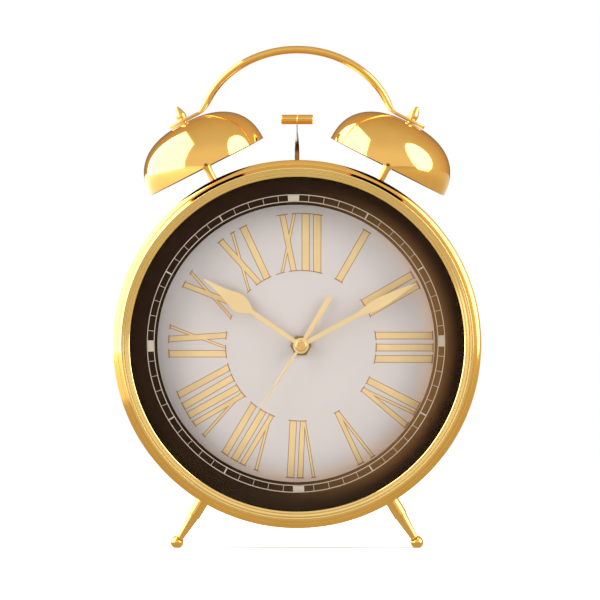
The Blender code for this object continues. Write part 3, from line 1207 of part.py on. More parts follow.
def make_motion_work(movement, looks):
    """Make the minute tube, the motion wheel, the hour wheel and the alarm wheel."""
    plastic = looks["plastic"]
    pinion_start, pinion_end = pinion_span(MOTION_WHEEL_FRONT)
    tube = circle(MINUTE_TUBE_RADIUS, TUBE_SIDES)
    tube_end = wheel_rear(CENTRE_WHEEL_FRONT) + MINUTE_TUBE_TAIL
    minute = stacked([(tube, hand_front(2) - ARBOR_PROUD, pinion_start),
                      (gear_outline(MINUTE_PINION_TEETH, MINUTE_MODULE, 0), pinion_start, pinion_end),
                      (tube, pinion_end, tube_end)], [circle(SECOND_ARBOR_RADIUS + SHAFT_FIT, TUBE_SIDES)])
    piece("minute_tube", minute, plastic, movement)

    motion_phase = mesh_phase(MINUTE_PINION_TEETH, 0, MOTION_DIRECTION, MOTION_TEETH)
    hour_pinion_start, hour_pinion_end = pinion_span(HOUR_WHEEL_FRONT)
    motion = stacked([(gear_outline(MOTION_PINION_TEETH, HOUR_MODULE, motion_phase), hour_pinion_start,
                       hour_pinion_end),
                      (circle(MOTION_HUB_RADIUS, TUBE_SIDES), hour_pinion_end, MOTION_WHEEL_FRONT),
                      (gear_outline(MOTION_TEETH, MINUTE_MODULE, motion_phase), MOTION_WHEEL_FRONT,
                       wheel_rear(MOTION_WHEEL_FRONT))],
                     [circle(MOTION_STUD_RADIUS + SHAFT_FIT, SMALL_SIDES)])
    piece("motion_wheel", motion, plastic, movement, (*MOTION_AXIS, 0))

    hour_phase = mesh_phase(MOTION_PINION_TEETH, motion_phase, MOTION_DIRECTION + math.pi, HOUR_TEETH)
    hour = stacked([(circle(HOUR_TUBE_RADIUS, TUBE_SIDES), hand_front(1) - ARBOR_PROUD, HOUR_WHEEL_FRONT),
                    (gear_outline(HOUR_TEETH, HOUR_MODULE, hour_phase), HOUR_WHEEL_FRONT,
                     wheel_rear(HOUR_WHEEL_FRONT))], [circle(MINUTE_TUBE_RADIUS + SHAFT_FIT, TUBE_SIDES)])
    piece("hour_wheel", hour, plastic, movement)

    alarm = stacked([(circle(ALARM_TUBE_RADIUS, TUBE_SIDES), hand_front(0) - ARBOR_PROUD, ALARM_WHEEL_FRONT),
                     (gear_outline(ALARM_TEETH, ALARM_MODULE, 0), ALARM_WHEEL_FRONT,
                      wheel_rear(ALARM_WHEEL_FRONT))], [circle(HOUR_TUBE_RADIUS + SHAFT_FIT, TUBE_SIDES)])
    piece("alarm_wheel", alarm, plastic, movement)
    make_settings(movement, looks, motion_phase)


def make_settings(movement, looks, motion_phase):
    """Make the two setting shafts and their knobs."""
    setting_phase = mesh_phase(MOTION_TEETH, motion_phase, SETTING_DIRECTION, SETTING_TEETH)
    make_setting("time_set", TIME_SETTING_AXIS, MOTION_WHEEL_FRONT,
                 (SETTING_TEETH, MINUTE_MODULE, setting_phase), TIME_KNOB_RADIUS, movement, looks)
    alarm_phase = mesh_phase(ALARM_TEETH, 0, ALARM_SETTING_DIRECTION, ALARM_SETTING_TEETH)
    make_setting("alarm_set", ALARM_SETTING_AXIS, ALARM_WHEEL_FRONT,
                 (ALARM_SETTING_TEETH, ALARM_MODULE, alarm_phase), ALARM_KNOB_RADIUS, movement, looks)


def make_setting(name, axis, wheel_front, teeth, knob_radius, movement, looks):
    """Make a setting shaft with its pinion, and the knob at the back of the clock."""
    pinion_start, pinion_end = pinion_span(wheel_front)
    bore_end = KNOB_FRONT + KNOB_BORE_DEPTH
    shaft = stacked([(circle(SETTING_PIVOT_RADIUS, SMALL_SIDES), FRONT_PLATE_REAR - PIVOT_REACH,
                      pinion_start),
                     (gear_outline(*teeth), pinion_start, pinion_end),
                     (circle(SETTING_SHAFT_RADIUS, SMALL_SIDES), pinion_end, bore_end - FIT)])
    piece(f"{name}_shaft", shaft, looks["plastic"], movement, (*axis, 0))
    bore = SETTING_SHAFT_RADIUS + FIT
    collar_end = KNOB_FRONT + KNOB_COLLAR_LENGTH
    outline = [(0, bore_end), (bore, bore_end), (bore, KNOB_FRONT), (KNOB_COLLAR_RADIUS, KNOB_FRONT),
               (KNOB_COLLAR_RADIUS, collar_end), (knob_radius, collar_end),
               (knob_radius, KNOB_REAR - KNOB_EDGE), (knob_radius - KNOB_EDGE, KNOB_REAR), (0, KNOB_REAR)]
    piece(f"{name}_knob", turned(outline, KNOB_SIDES), looks["black"], movement, (*axis, 0))


# Movement: housing, motor and board

def pillar_places():
    """Return the places of the pillars that carry the middle plate."""
    left = -MIDDLE_PLATE_LEFT + PILLAR_INSET
    right = MIDDLE_PLATE_RIGHT - PILLAR_INSET
    top = -MIDDLE_PLATE_TOP + PILLAR_INSET
    bottom = MIDDLE_PLATE_BOTTOM - PILLAR_INSET
    return [(left, top), (right, top), (right, bottom), (left, bottom)]


def make_plates(movement, looks):
    pivot_hole = PIVOT_RADIUS + PIVOT_FIT
    bores = [circle(BUSH_BORE, TUBE_SIDES), circle(pivot_hole, SMALL_SIDES, THIRD_AXIS)]
    bores += [circle(SETTING_PIVOT_RADIUS + SHAFT_FIT, SMALL_SIDES, axis)
              for axis in (TIME_SETTING_AXIS, ALARM_SETTING_AXIS)]
    outline = rectangle(-PLATE_HALF_WIDTH, PLATE_HALF_WIDTH, -PLATE_TOP, PLATE_BOTTOM)
    sheet = stacked([(outline, FRONT_PLATE_FRONT, FRONT_PLATE_REAR)], bores)
    plate = piece("movement_front_plate", sheet, looks["plastic"], movement)
    bush_rear = FRONT_PLATE_FRONT + FRONT_PLATE_THICKNESS / 2
    bush = stacked([(circle(BUSH_RADIUS, TUBE_SIDES), BUSH_FRONT, bush_rear)],
                   [circle(BUSH_BORE, TUBE_SIDES)])
    combine(plate, "plate_bush", bush, "UNION")
    posts = bmesh.new()
    start = FRONT_PLATE_REAR - FRONT_PLATE_THICKNESS / 2
    for x, y in pillar_places():
        add_rod(posts, PILLAR_RADIUS, (x, y, start), (x, y, MIDDLE_PLATE_FRONT - FIT))
    stud_end = wheel_rear(MOTION_WHEEL_FRONT) + PIVOT_REACH
    add_rod(posts, MOTION_STUD_RADIUS, (*MOTION_AXIS, start), (*MOTION_AXIS, stud_end))
    combine(plate, "plate_posts", posts, "UNION")

    holes = [circle(SECOND_ARBOR_RADIUS + SHAFT_FIT, SMALL_SIDES),
             circle(ARBOR_RADIUS + SHAFT_FIT, SMALL_SIDES, THIRD_AXIS),
             circle(pivot_hole, SMALL_SIDES, INTERMEDIATE_AXIS), circle(pivot_hole, SMALL_SIDES, ROTOR_AXIS)]
    holes += [circle(SETTING_SHAFT_RADIUS + SHAFT_FIT, SMALL_SIDES, axis)
              for axis in (TIME_SETTING_AXIS, ALARM_SETTING_AXIS)]
    outline = rectangle(-MIDDLE_PLATE_LEFT, MIDDLE_PLATE_RIGHT, -MIDDLE_PLATE_TOP, MIDDLE_PLATE_BOTTOM)
    middle = stacked([(outline, MIDDLE_PLATE_FRONT, MIDDLE_PLATE_REAR)], holes)
    piece("movement_middle_plate", middle, looks["steel"], movement)

    nut_rear = DIAL_FRONT - FIT
    nut = stacked([(circle(NUT_RADIUS, 6), nut_rear - NUT_THICKNESS, nut_rear)],
                  [circle(BUSH_RADIUS + FIT, TUBE_SIDES)])
    piece("movement_nut", nut, looks["brass"], movement)


def make_shell(movement, looks):
    shell = bmesh.new()
    add_box(shell, (-PLATE_HALF_WIDTH, -PLATE_TOP, SHELL_FRONT), (PLATE_HALF_WIDTH, PLATE_BOTTOM, SHELL_REAR))
    shell_piece = piece("movement_rear_shell", shell, looks["plastic"], movement)
    hollow = bmesh.new()
    add_box(hollow, (-PLATE_HALF_WIDTH + SHELL_WALL, -PLATE_TOP + SHELL_WALL, SHELL_FRONT - OVERRUN),
            (PLATE_HALF_WIDTH - SHELL_WALL, PLATE_BOTTOM - SHELL_WALL, SHELL_INNER_DEPTH))
    combine(shell_piece, "shell_hollow", hollow, "DIFFERENCE")
    posts = bmesh.new()
    root = SHELL_INNER_DEPTH + SHELL_WALL / 2
    for x, y in stator_posts():
        add_rod(posts, PILLAR_RADIUS, (x, y, STATOR_FRONT + STATOR_THICKNESS + FIT), (x, y, root))
    for x in (-BOARD_LEFT + BOARD_POST_INSET, -BOARD_RIGHT - BOARD_POST_INSET):
        middle = -(BOARD_TOP + BOARD_BOTTOM) / 2
        add_rod(posts, PILLAR_RADIUS, (x, middle, BOARD_FRONT + BOARD_THICKNESS + FIT), (x, middle, root))
    combine(shell_piece, "shell_posts", posts, "UNION")
    holes = bmesh.new()
    pivot_hole = PIVOT_RADIUS + PIVOT_FIT
    shaft_hole = SETTING_SHAFT_RADIUS + SHAFT_FIT
    for (x, y), radius in (((0, 0), pivot_hole), (THIRD_AXIS, pivot_hole), (INTERMEDIATE_AXIS, pivot_hole),
                           (ROTOR_AXIS, pivot_hole), (TIME_SETTING_AXIS, shaft_hole),
                           (ALARM_SETTING_AXIS, shaft_hole)):
        add_rod(holes, radius, (x, y, SHELL_INNER_DEPTH - OVERRUN), (x, y, SHELL_REAR + OVERRUN))
    combine(shell_piece, "shell_holes", holes, "DIFFERENCE")


def stator_posts():
    """Return the places of the posts behind the stator's far corners."""
    x, y = ROTOR_AXIS
    inset = STATOR_ARM / 2
    return [(x - STATOR_HALF_WIDTH + inset, y - STATOR_REACH + inset),
            (x + STATOR_HALF_WIDTH - inset, y - STATOR_REACH + inset)]


def make_motor(movement, looks):
    """Make the stator plate round the rotor, and the coil on its bar."""
    x, y = ROTOR_AXIS
    ring_side = STATOR_RING_RADIUS
    outline = [(-STATOR_HALF_WIDTH, -STATOR_REACH), (STATOR_HALF_WIDTH, -STATOR_REACH),
               (STATOR_HALF_WIDTH, -STATOR_WINDOW_START), (ring_side, -STATOR_RING_RADIUS / 2),
               (ring_side, STATOR_RING_RADIUS / 2), (ring_side / 2, ring_side), (-ring_side / 2, ring_side),
               (-ring_side, STATOR_RING_RADIUS / 2), (-ring_side, -STATOR_RING_RADIUS / 2),
               (-STATOR_HALF_WIDTH, -STATOR_WINDOW_START)]
    window_half = STATOR_HALF_WIDTH - STATOR_ARM
    bar_inner = -STATOR_REACH + STATOR_BAR
    bores = [circle(ROTOR_MAGNET_RADIUS + ROTOR_GAP, TUBE_SIDES),
             rectangle(-window_half, window_half, bar_inner, -STATOR_WINDOW_START)]
    stator = stacked([(outline, STATOR_FRONT, STATOR_FRONT + STATOR_THICKNESS)], bores)
    piece("motor_stator", stator, looks["steel"], movement, (x, y, 0))

    half_length = window_half - FIT
    hole_half_thickness = STATOR_THICKNESS / 2 + FIT
    hole_half_width = STATOR_BAR / 2 + FIT
    hole = rectangle(-hole_half_thickness, hole_half_thickness, -hole_half_width, hole_half_width)
    coil = stacked([(circle(COIL_RADIUS, TUBE_SIDES), -half_length, half_length)], [hole])
    bar_middle = y - STATOR_REACH + STATOR_BAR / 2
    piece("motor_coil", coil, looks["copper"], movement, (x, bar_middle, STATOR_FRONT + STATOR_THICKNESS / 2),
          (0, math.pi / 2, 0))
    board = stacked([(rectangle(-BOARD_LEFT, -BOARD_RIGHT, -BOARD_TOP, -BOARD_BOTTOM), BOARD_FRONT,
                      BOARD_FRONT + BOARD_THICKNESS)])
    piece("circuit_board", board, looks["board"], movement)


# Hands

def hand_front(level):
    """Return the depth of a hand's front face; level 0 is the alarm hand, level 3 the seconds hand."""
    return ALARM_HAND_FRONT - level * HAND_PITCH


def hand_outline(sides, hub_radius):
    """Return a hand's outline from its right side, as (reach, half width) points, with a round hub."""
    root = sides[0][1]
    open_angle = math.asin(root / hub_radius)
    hub = [(hub_radius * math.sin(angle), -hub_radius * math.cos(angle))
           for angle in (open_angle + (2 * math.pi - 2 * open_angle) * step / HUB_STEPS
                         for step in range(HUB_STEPS + 1))]
    right = [(half_width, -reach) for reach, half_width in sides]
    left = [(-half_width, -reach) for reach, half_width in sides]
    return hub + left[1:] + right[:0:-1]


def leaf_sides(start, length, width, shares):
    """Return the right side of a hand with a shank and a leaf shaped by shares of its size."""
    blade = length - start
    sides = [(0, SHANK_WIDTH / 2)]
    sides += [(start + along * blade, share * width / 2) for along, share in shares]
    return sides


def make_hand(name, level, angle, sides, bore, movement, look):
    front = hand_front(level)
    outline = hand_outline(sides, HAND_HUB_RADIUS)
    hand = stacked([(outline, 0, HAND_THICKNESS)], [circle(bore, TUBE_SIDES)])
    piece(name, hand, look, movement, (0, 0, front), (0, 0, angle))


def make_hands(movement, looks):
    gold = looks["satin"]
    alarm = [(0, ALARM_HAND_ROOT_WIDTH / 2), (ALARM_HAND_LENGTH, ALARM_HAND_TIP_WIDTH / 2)]
    make_hand("alarm_hand", 0, ALARM_HAND_ANGLE, alarm, ALARM_TUBE_RADIUS + SHAFT_FIT, movement, gold)
    hour = leaf_sides(HOUR_SPADE_START, HOUR_HAND_LENGTH, HOUR_SPADE_WIDTH, HOUR_SPADE_SHARES)
    make_hand("hour_hand", 1, HOUR_HAND_ANGLE, hour, HOUR_TUBE_RADIUS + SHAFT_FIT, movement, gold)
    minute = leaf_sides(MINUTE_LEAF_START, MINUTE_HAND_LENGTH, MINUTE_LEAF_WIDTH, MINUTE_LEAF_SHARES)
    make_hand("minute_hand", 2, MINUTE_HAND_ANGLE, minute, MINUTE_TUBE_RADIUS + SHAFT_FIT, movement, gold)


def make_second_hand(movement, looks, cap_rear):
    """Make the seconds hand with the cap that covers the end of its arbor."""
    front = hand_front(3)
    sides = [(0, SECOND_HAND_ROOT_WIDTH / 2), (SECOND_HAND_LENGTH, SECOND_HAND_TIP_WIDTH / 2)]
    outline = hand_outline(sides, SECOND_CAP_RADIUS + FIT)
    needle = stacked([(outline, 0, HAND_THICKNESS)])
    hand = piece("second_hand", needle, looks["satin"], movement, (0, 0, front), (0, 0, SECOND_HAND_ANGLE))
    cap = stacked([(circle(SECOND_CAP_RADIUS, TUBE_SIDES), -SECOND_CAP_HEIGHT, HAND_THICKNESS / 2)])
    combine(hand, "second_cap", cap, "UNION")
    bore = bmesh.new()
    add_rod(bore, SECOND_ARBOR_RADIUS + SHAFT_FIT, (0, 0, -ARBOR_PROUD - SHAFT_FIT),
            (0, 0, cap_rear - front + OVERRUN))
    combine(hand, "second_bore", bore, "DIFFERENCE")


def build_clock():
    for old in list(bpy.data.objects):
        bpy.data.objects.remove(old)
    looks = {name: finish(name, *values) for name, values in FINISHES.items()}
    dial = frame("dial_frame", (0, FRONT_Y, CASE_HEIGHT), (-math.pi / 2, 0, 0))
    crown = frame("crown_frame", (0, FRONT_Y + BELL_DEPTH, CASE_HEIGHT))
    movement = frame("movement_frame", (MOVEMENT_RIGHT, FRONT_Y, CASE_HEIGHT - MOVEMENT_DROP),
                     (-math.pi / 2, 0, 0))
    make_case(dial, looks)
    make_back(dial, looks)
    make_battery(dial, looks)
    make_switch(dial, looks)
    make_legs(looks)
    make_bells(looks)
    make_handle(crown, looks)
    make_hammer(looks)
    make_hammer_drive(crown, looks)
    make_plates(movement, looks)
    make_shell(movement, looks)
    make_motor(movement, looks)
    make_second_train(movement, looks)
    make_rotor_train(movement, looks)
    make_motion_work(movement, looks)
    make_hands(movement, looks)


build_clock()
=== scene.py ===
"""Twin-bell desk clock: the finished pieces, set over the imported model.

Metres, +Z up, and the dial faces -Y. In the dial frame X points right, Y down and Z back, and depths
are counted backwards from the front of the bezel. A turn about Z is clockwise as seen from the front.
"""

from math import acos, asin, copysign, cos, pi, radians, sin, sqrt

import bmesh
import bpy
from bpy.props import FloatProperty, FloatVectorProperty, IntProperty, PointerProperty
from bpy.types import Operator, Panel, PropertyGroup
from mathutils import Matrix, Vector


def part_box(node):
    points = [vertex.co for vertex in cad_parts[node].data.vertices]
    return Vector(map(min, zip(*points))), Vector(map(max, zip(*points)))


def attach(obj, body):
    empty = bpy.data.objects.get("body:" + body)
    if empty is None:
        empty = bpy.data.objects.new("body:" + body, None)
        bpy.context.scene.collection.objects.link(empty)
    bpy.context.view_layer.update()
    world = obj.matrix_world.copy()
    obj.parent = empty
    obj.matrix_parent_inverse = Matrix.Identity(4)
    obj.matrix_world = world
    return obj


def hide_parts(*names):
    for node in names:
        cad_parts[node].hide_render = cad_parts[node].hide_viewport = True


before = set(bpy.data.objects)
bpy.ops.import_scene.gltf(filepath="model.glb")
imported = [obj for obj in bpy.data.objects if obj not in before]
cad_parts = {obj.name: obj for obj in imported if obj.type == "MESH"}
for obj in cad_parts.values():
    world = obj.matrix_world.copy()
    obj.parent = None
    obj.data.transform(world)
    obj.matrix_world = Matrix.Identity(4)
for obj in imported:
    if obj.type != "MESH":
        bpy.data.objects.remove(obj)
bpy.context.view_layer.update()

bl_info = {
    "name": "Twin-bell desk clock",
    "version": (1, 0, 0),
    "blender": (4, 5, 0),
    "location": "3D View > Sidebar > Clock",
    "description": "Models the visible pieces of a gold twin-bell desk clock and its studio",
    "category": "Object",
}


def corners_of(node):
    """Return a node's lowest and highest corner."""
    low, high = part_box(node)
    return Vector(low), Vector(high)


def middle_of(node):
    """Return the middle of a node's box."""
    low, high = corners_of(node)
    return (low + high) / 2


def at(right, away, up=0):
    """Return the shift to a place."""
    return Matrix.Translation((right, away, up))


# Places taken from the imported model
BEZEL_LOW, BEZEL_HIGH = corners_of("bezel")
CASE_RADIUS = (BEZEL_HIGH.x - BEZEL_LOW.x) / 2
AXIS_HEIGHT = (BEZEL_HIGH.z + BEZEL_LOW.z) / 2
FRONT = BEZEL_LOW.y
MOVEMENT = middle_of("movement_nut")
BELL_PLANE = middle_of("bell_post_left").y
LEG_PLANES = {"front": middle_of("leg_front_left").y, "rear": middle_of("leg_rear_left").y}
HANDLE_TOP = corners_of("handle")[1].z
TIME_KNOB = middle_of("time_set_knob")
ALARM_KNOB = middle_of("alarm_set_knob")
COVER_LOW, COVER_HIGH = corners_of("battery_cover")
BATTERY_LOW, BATTERY_HIGH = corners_of("battery")

FACING = Matrix.Rotation(-pi / 2, 4, "X")
DIAL_FRAME = at(0, FRONT, AXIS_HEIGHT) @ FACING
HAND_FRAME = at(MOVEMENT.x, FRONT, MOVEMENT.z) @ FACING
SIDES = {"left": -1, "right": 1}
MERGE_DISTANCE = 0.0000005
FIT = 0.0003

# Front and rear depths of the layers over the movement, and of what lies behind the cover
GLASS = (0.0056, 0.0076)
TRACK = (0.00786, 0.00791)
DARK_RING = (0.0079, 0.0091)
SPACER = (0.0094, 0.0196)
DIAL = (0.0199, 0.0207)
DRUM_SHELF = (0.021, 0.0222)
THUMB = (0.0657, 0.0681)
KNOB = (0.0666, 0.0744)

# Places from the middle of the case, the head's rise over its pivot, and the dial's hole
SHOULDER = 0.0984
POST_ENDS = (0.0895, 0.1418)
BALL = 0.126
SCREW_CIRCLE = 0.0942
COVER_GROOVE = (0.086, 0.0885)
SWITCH_RISE = 0.042
HAMMER_PIVOT = 0.074
HEAD_RISE = 0.0482
MOVEMENT_HOLE = 0.0043

# Widths of the minute track's marks
QUARTER_MARK, FIVE_MINUTE_MARK, MINUTE_MARK = 0.0062, 0.00075, 0.00026

# Angles, clockwise from the top as seen from the front
BELL_ANGLE = radians(27)
LEG_ANGLE = radians(31.2)
HOUR_ANGLE = radians(304.5)
MINUTE_ANGLE = radians(61.5)
ALARM_ANGLE = radians(30.9)
SECOND_ANGLE = radians(212.8)

# Bands of the bezel: start, end and swell of each, and two points of the groove or lip after it.
# Points are (reach inwards from the outer band's edge, depth).
BANDS = (((0.00056, 0.0001), (0.0018, 0.0001), 0.00006, ((0.00188, 0.0004), (0.00196, 0.0004))),
         ((0.00205, 0.0003), (0.0038, 0.0005), 0.0001, ((0.00388, 0.0009), (0.00396, 0.0009))),
         ((0.00405, 0.0008), (0.0052, 0.0010), 0.0001, ((0.0054, 0.0012), (0.0056, 0.0017))))

# Half widths of the hands as shares of their full half width, along the blade from its root to its tip
SPADE_SHARES = ((0.0, 0.25), (0.1, 0.62), (0.17, 0.86), (0.24, 0.98), (0.29, 1.0), (0.38, 0.9),
                (0.48, 0.7), (0.6, 0.49), (0.74, 0.31), (0.88, 0.17), (1.0, 0.05))
LEAF_SHARES = ((0.0, 0.42), (0.07, 0.56), (0.15, 0.78), (0.24, 0.95), (0.32, 1.0), (0.42, 0.97),
               (0.56, 0.82), (0.72, 0.57), (0.87, 0.3), (1.0, 0.06))

# Sides of a finial above its flat foot, and of each end of the hammer's head: (radius, height)
FINIAL = ((0.00262, 0.0006), (0.0028, 0.0014), (0.00278, 0.0024), (0.0024, 0.0037), (0.0019, 0.005),
          (0.00145, 0.0061))
HEAD_END = ((0.0014, 0.0), (0.0014, 0.0004), (0.0019, 0.0004), (0.0019, 0.0), (0.0023, 0.00005))

# Strokes of the numerals in millimetres, clockwise from the top of the dial: outer offset, outer
# width, inner offset and inner width of each.
# Offsets run clockwise from the middle of the numeral, whose foot points to the middle of the dial.
NUMERALS = {
    "XII": ((-3.53, 1.8, -10.15, 1.75), (-10.09, 3.3, -3.91, 3.3), (2.63, 4.5, 2.63, 4.4),
            (8.87, 4.5, 8.87, 4.4)),
    "I": ((0.0, 4.2, 0.0, 4.1),),
    "II": ((-3.15, 4.2, -3.15, 4.2), (3.1, 4.2, 3.1, 4.2)),
    "III": ((-5.53, 4.07, -5.53, 4.07), (0.98, 4.07, 0.98, 4.07), (7.22, 4.07, 7.22, 4.07)),
    "IIII": ((-3.42, 4.45, -1.95, 3.9), (0.98, 1.95, 3.5, 1.75), (8.84, 3.3, 3.6, 2.8)),
    "V": ((-3.8, 2.0, 0.6, 1.7), (3.74, 3.2, 1.1, 2.7)),
    "VI": ((-6.95, 1.75, -2.0, 1.5), (0.41, 3.3, -0.98, 2.9), (5.7, 4.0, 4.07, 3.95)),
    "VII": ((-12.7, 1.8, -4.4, 1.7), (-4.67, 3.1, -5.2, 2.8), (0.45, 4.0, 0.0, 3.9),
            (6.45, 4.05, 6.15, 3.8)),
    "VIII": ((-15.8, 1.8, -6.2, 1.7), (-7.65, 3.1, -7.4, 2.8), (-2.2, 4.0, -2.65, 3.9),
             (3.35, 4.1, 3.45, 3.9), (10.1, 4.0, 9.35, 3.8)),
    "IX": ((10.5, 1.8, -0.95, 1.65), (3.65, 3.5, 5.65, 3.5), (-4.35, 3.9, -4.35, 3.9)),
    "X": ((4.75, 1.8, -5.6, 1.7), (-2.9, 3.2, 1.8, 3.2)),
    "XI": ((-1.55, 1.85, -9.55, 1.75), (-9.3, 3.4, -2.65, 3.3), (5.0, 4.05, 2.35, 4.05)),
}
# Serifs that run on from one stroke to the next, in millimetres
LONG_SERIFS = {
    "XII": {"outer": ((-13.3, -6.9), (-5.1, 12.05)), "inner": ((-13.5, -9.0), (-6.6, 11.8))},
    "VI": {"outer": (), "inner": ((-3.2, 6.9),)},
    "IX": {"outer": (), "inner": ((-6.9, 0.4),)},
}


# Settings that a user would change

def distance(name, default, text):
    """Describe a length in metres."""
    return FloatProperty(name=name, description=text, default=default, unit="LENGTH",
                         subtype="DISTANCE", precision=5)


def colour(name, default, text):
    """Describe a colour."""
    return FloatVectorProperty(name=name, description=text, default=default, size=3, min=0, max=1,
                               subtype="COLOR")


def strength(name, default, text):
    """Describe the strength of a light."""
    return FloatProperty(name=name, description=text, default=default, min=0)


class CaseSizes(PropertyGroup):
    """Sizes of the bezel, the drum and the back cover."""

    radius: distance("Bezel radius", CASE_RADIUS, "Outer radius of the rolled bezel")
    roll: distance("Roll radius", 0.00185, "Radius of the roll round the bezel's edge")
    step: distance("Step reach", 0.0010, "From the bands' radius to the start of the roll")
    skirt_wall: distance("Skirt wall", 0.0016, "Wall of the bezel's skirt over the drum")
    skirt_depth: distance("Skirt depth", 0.011, "Depth of the bezel's skirt")
    lip_depth: distance("Lip depth", 0.0053, "Depth of the bezel's lip on the glass")
    drum_wall: distance("Drum wall", 0.0011, "Wall of the drum")
    drum_rear: distance("Drum rear", 0.0639, "Depth of the drum's rear edge")
    cover_thickness: distance("Cover thickness", 0.0012, "Sheet of the back cover")
    cover_flange: distance("Cover flange", 0.0085, "Length of the back cover's flange")
    sides: IntProperty(name="Sides", description="Faces round the case", default=192, min=32)


class DialSizes(PropertyGroup):
    """Sizes of the glass, the dark ring, the dial and what is printed on them."""

    stack_radius: distance("Stack radius", 0.0967, "Radius of the glass, the ring and the dial")
    ring_bore: distance("Ring bore", 0.0753, "Radius of the dark ring's opening")
    ring_left: distance("Ring left", 0.00054, "How far the dark ring's opening sits to the left")
    ring_rise: distance("Ring rise", 0.00038, "How far the dark ring's opening sits up")
    track_outer: distance("Track outer", 0.0808, "Radius of the minute track's outer line")
    track_inner: distance("Track inner", 0.0771, "Radius of the minute track's inner line")
    track_line: distance("Track line", 0.00042, "Width of the minute track's lines")
    numeral_outer: distance("Numeral outer", 0.0719, "Radius of the numerals' outer ends")
    numeral_inner: distance("Numeral inner", 0.0409, "Radius of the numerals' inner ends")
    numeral_edge: distance("Numeral edge", 0.00036, "Width of the brown line round the numerals")
    serif: distance("Serif", 0.0005, "Thickness of the serifs")
    serif_overrun: distance("Serif overrun", 0.0006, "How far a serif runs past its stroke")


class HandSizes(PropertyGroup):
    """Sizes of the hands and of the hub."""

    thickness: distance("Thickness", 0.0005, "Sheet of the hands")
    hub: distance("Hub radius", 0.0043, "Radius of the hands' round ends")
    shank: distance("Shank width", 0.0024, "Width of the hour and minute hands' shanks")
    hour_length: distance("Hour length", 0.064, "Reach of the hour hand")
    hour_start: distance("Hour spade", 0.0325, "Where the hour hand's spade starts")
    hour_width: distance("Hour width", 0.0098, "Width of the hour hand's spade")
    minute_length: distance("Minute length", 0.0716, "Reach of the minute hand")
    minute_start: distance("Minute leaf", 0.0355, "Where the minute hand's leaf starts")
    minute_width: distance("Minute width", 0.0058, "Width of the minute hand's leaf")
    alarm_length: distance("Alarm length", 0.0314, "Reach of the alarm hand")
    second_length: distance("Second length", 0.04, "Reach of the second hand")
    cap: distance("Cap radius", 0.0031, "Radius of the cap on the second hand")


class BellSizes(PropertyGroup):
    """Sizes of the bells, their posts, the finials, the handle and the hammer."""

    rim_distance: distance("Rim distance", 0.1081, "From the middle of the case to a bell's rim")
    radius: distance("Bell radius", 0.0345, "Radius of a bell at its rim")
    height: distance("Bell height", 0.027, "Height of a bell")
    wall: distance("Bell wall", 0.0012, "Wall of a bell")
    post: distance("Post radius", 0.0022, "Radius of a bell's post")
    finial_start: distance("Finial start", 0.1374, "From the middle of the case to a finial's foot")
    rod: distance("Rod radius", 0.0021, "Radius of the handle's rod")
    tab_distance: distance("Tab distance", 0.13625, "From the middle of the case to a tab's middle")
    tab_width: distance("Tab width", 0.0072, "Width of the handle's flattened ends")
    tab_thickness: distance("Tab thickness", 0.0017, "Thickness of the handle's flattened ends")
    head_length: distance("Head length", 0.0173, "Length of the hammer's head")
    head_radius: distance("Head radius", 0.0026, "Radius of the hammer's head")


class FinishColours(PropertyGroup):
    """Colours of the finishes."""

    gold: colour("Polished gold", (0.95, 0.57, 0.15), "Plated brass of the case, bells and handle")
    gold_shade: colour("Polished gold, deeper", (0.9, 0.52, 0.125), "Deeper tone of the plated brass")
    satin: colour("Satin gold", (0.98, 0.78, 0.46), "Hands")
    foil: colour("Numeral gold", (0.78, 0.58, 0.29), "Fill of the numerals")
    edge: colour("Numeral brown", (0.38, 0.18, 0.08), "Line round the numerals and their serifs")
    dial: colour("Dial", (0.635, 0.58, 0.553), "Painted dial")
    ring: colour("Dark ring", (0.022, 0.01, 0.004), "Glossy ring behind the glass")
    track: colour("Minute track", (0.5, 0.43, 0.34), "Lines of the minute track")
    black: colour("Black plastic", (0.018, 0.018, 0.02), "Knobs, switch, tray and battery cover")
    white: colour("White plastic", (0.74, 0.73, 0.69), "Movement case and wheels")
    steel: colour("Zinc steel", (0.56, 0.56, 0.57), "Screws, nuts and hammer drive")
    brass: colour("Plain brass", (0.68, 0.49, 0.2), "Wheels of the movement")
    copper: colour("Copper wire", (0.6, 0.21, 0.08), "Coils")


class StageSettings(PropertyGroup):
    """Camera, floor and lamps."""

    camera_right: distance("Camera right", 0.0016, "Place of the camera to the right of the clock")
    camera_height: distance("Camera height", 0.1348, "Height of the camera")
    camera_distance: distance("Camera distance", 12.0, "From the camera to the bezel's front")
    view_width: distance("View width", 0.3256, "Width that the picture takes in at the bezel")
    floor_size: distance("Floor size", 14.0, "Side of the floor")
    key: strength("Left lamp", 3.5, "Radiance of the soft lamp on the left")
    fill: strength("Right lamp", 3.8, "Radiance of the soft lamp on the right")
    ambient: strength("Ambient", 0.3, "Strength of the white surroundings on matt faces")


class ClockSettings(PropertyGroup):
    """All settings of the clock."""

    case: PointerProperty(type=CaseSizes, name="Case", description="Case sizes")
    dial: PointerProperty(type=DialSizes, name="Dial", description="Dial sizes")
    hands: PointerProperty(type=HandSizes, name="Hands", description="Hand sizes")
    bells: PointerProperty(type=BellSizes, name="Bells", description="Bell and handle sizes")
    colours: PointerProperty(type=FinishColours, name="Colours", description="Colours of the finishes")
    stage: PointerProperty(type=StageSettings, name="Stage", description="Camera, floor and lamps")


def settings():
    """Return the clock's settings in the open scene."""
    return bpy.context.scene.desk_clock


# Outlines

def arc(centre, radius, start, end, steps):
    """Return points on an arc, from one angle in degrees to another."""
    angles = [radians(start + (end - start) * step / steps) for step in range(steps + 1)]
    return [(centre[0] + radius * cos(angle), centre[1] + radius * sin(angle)) for angle in angles]


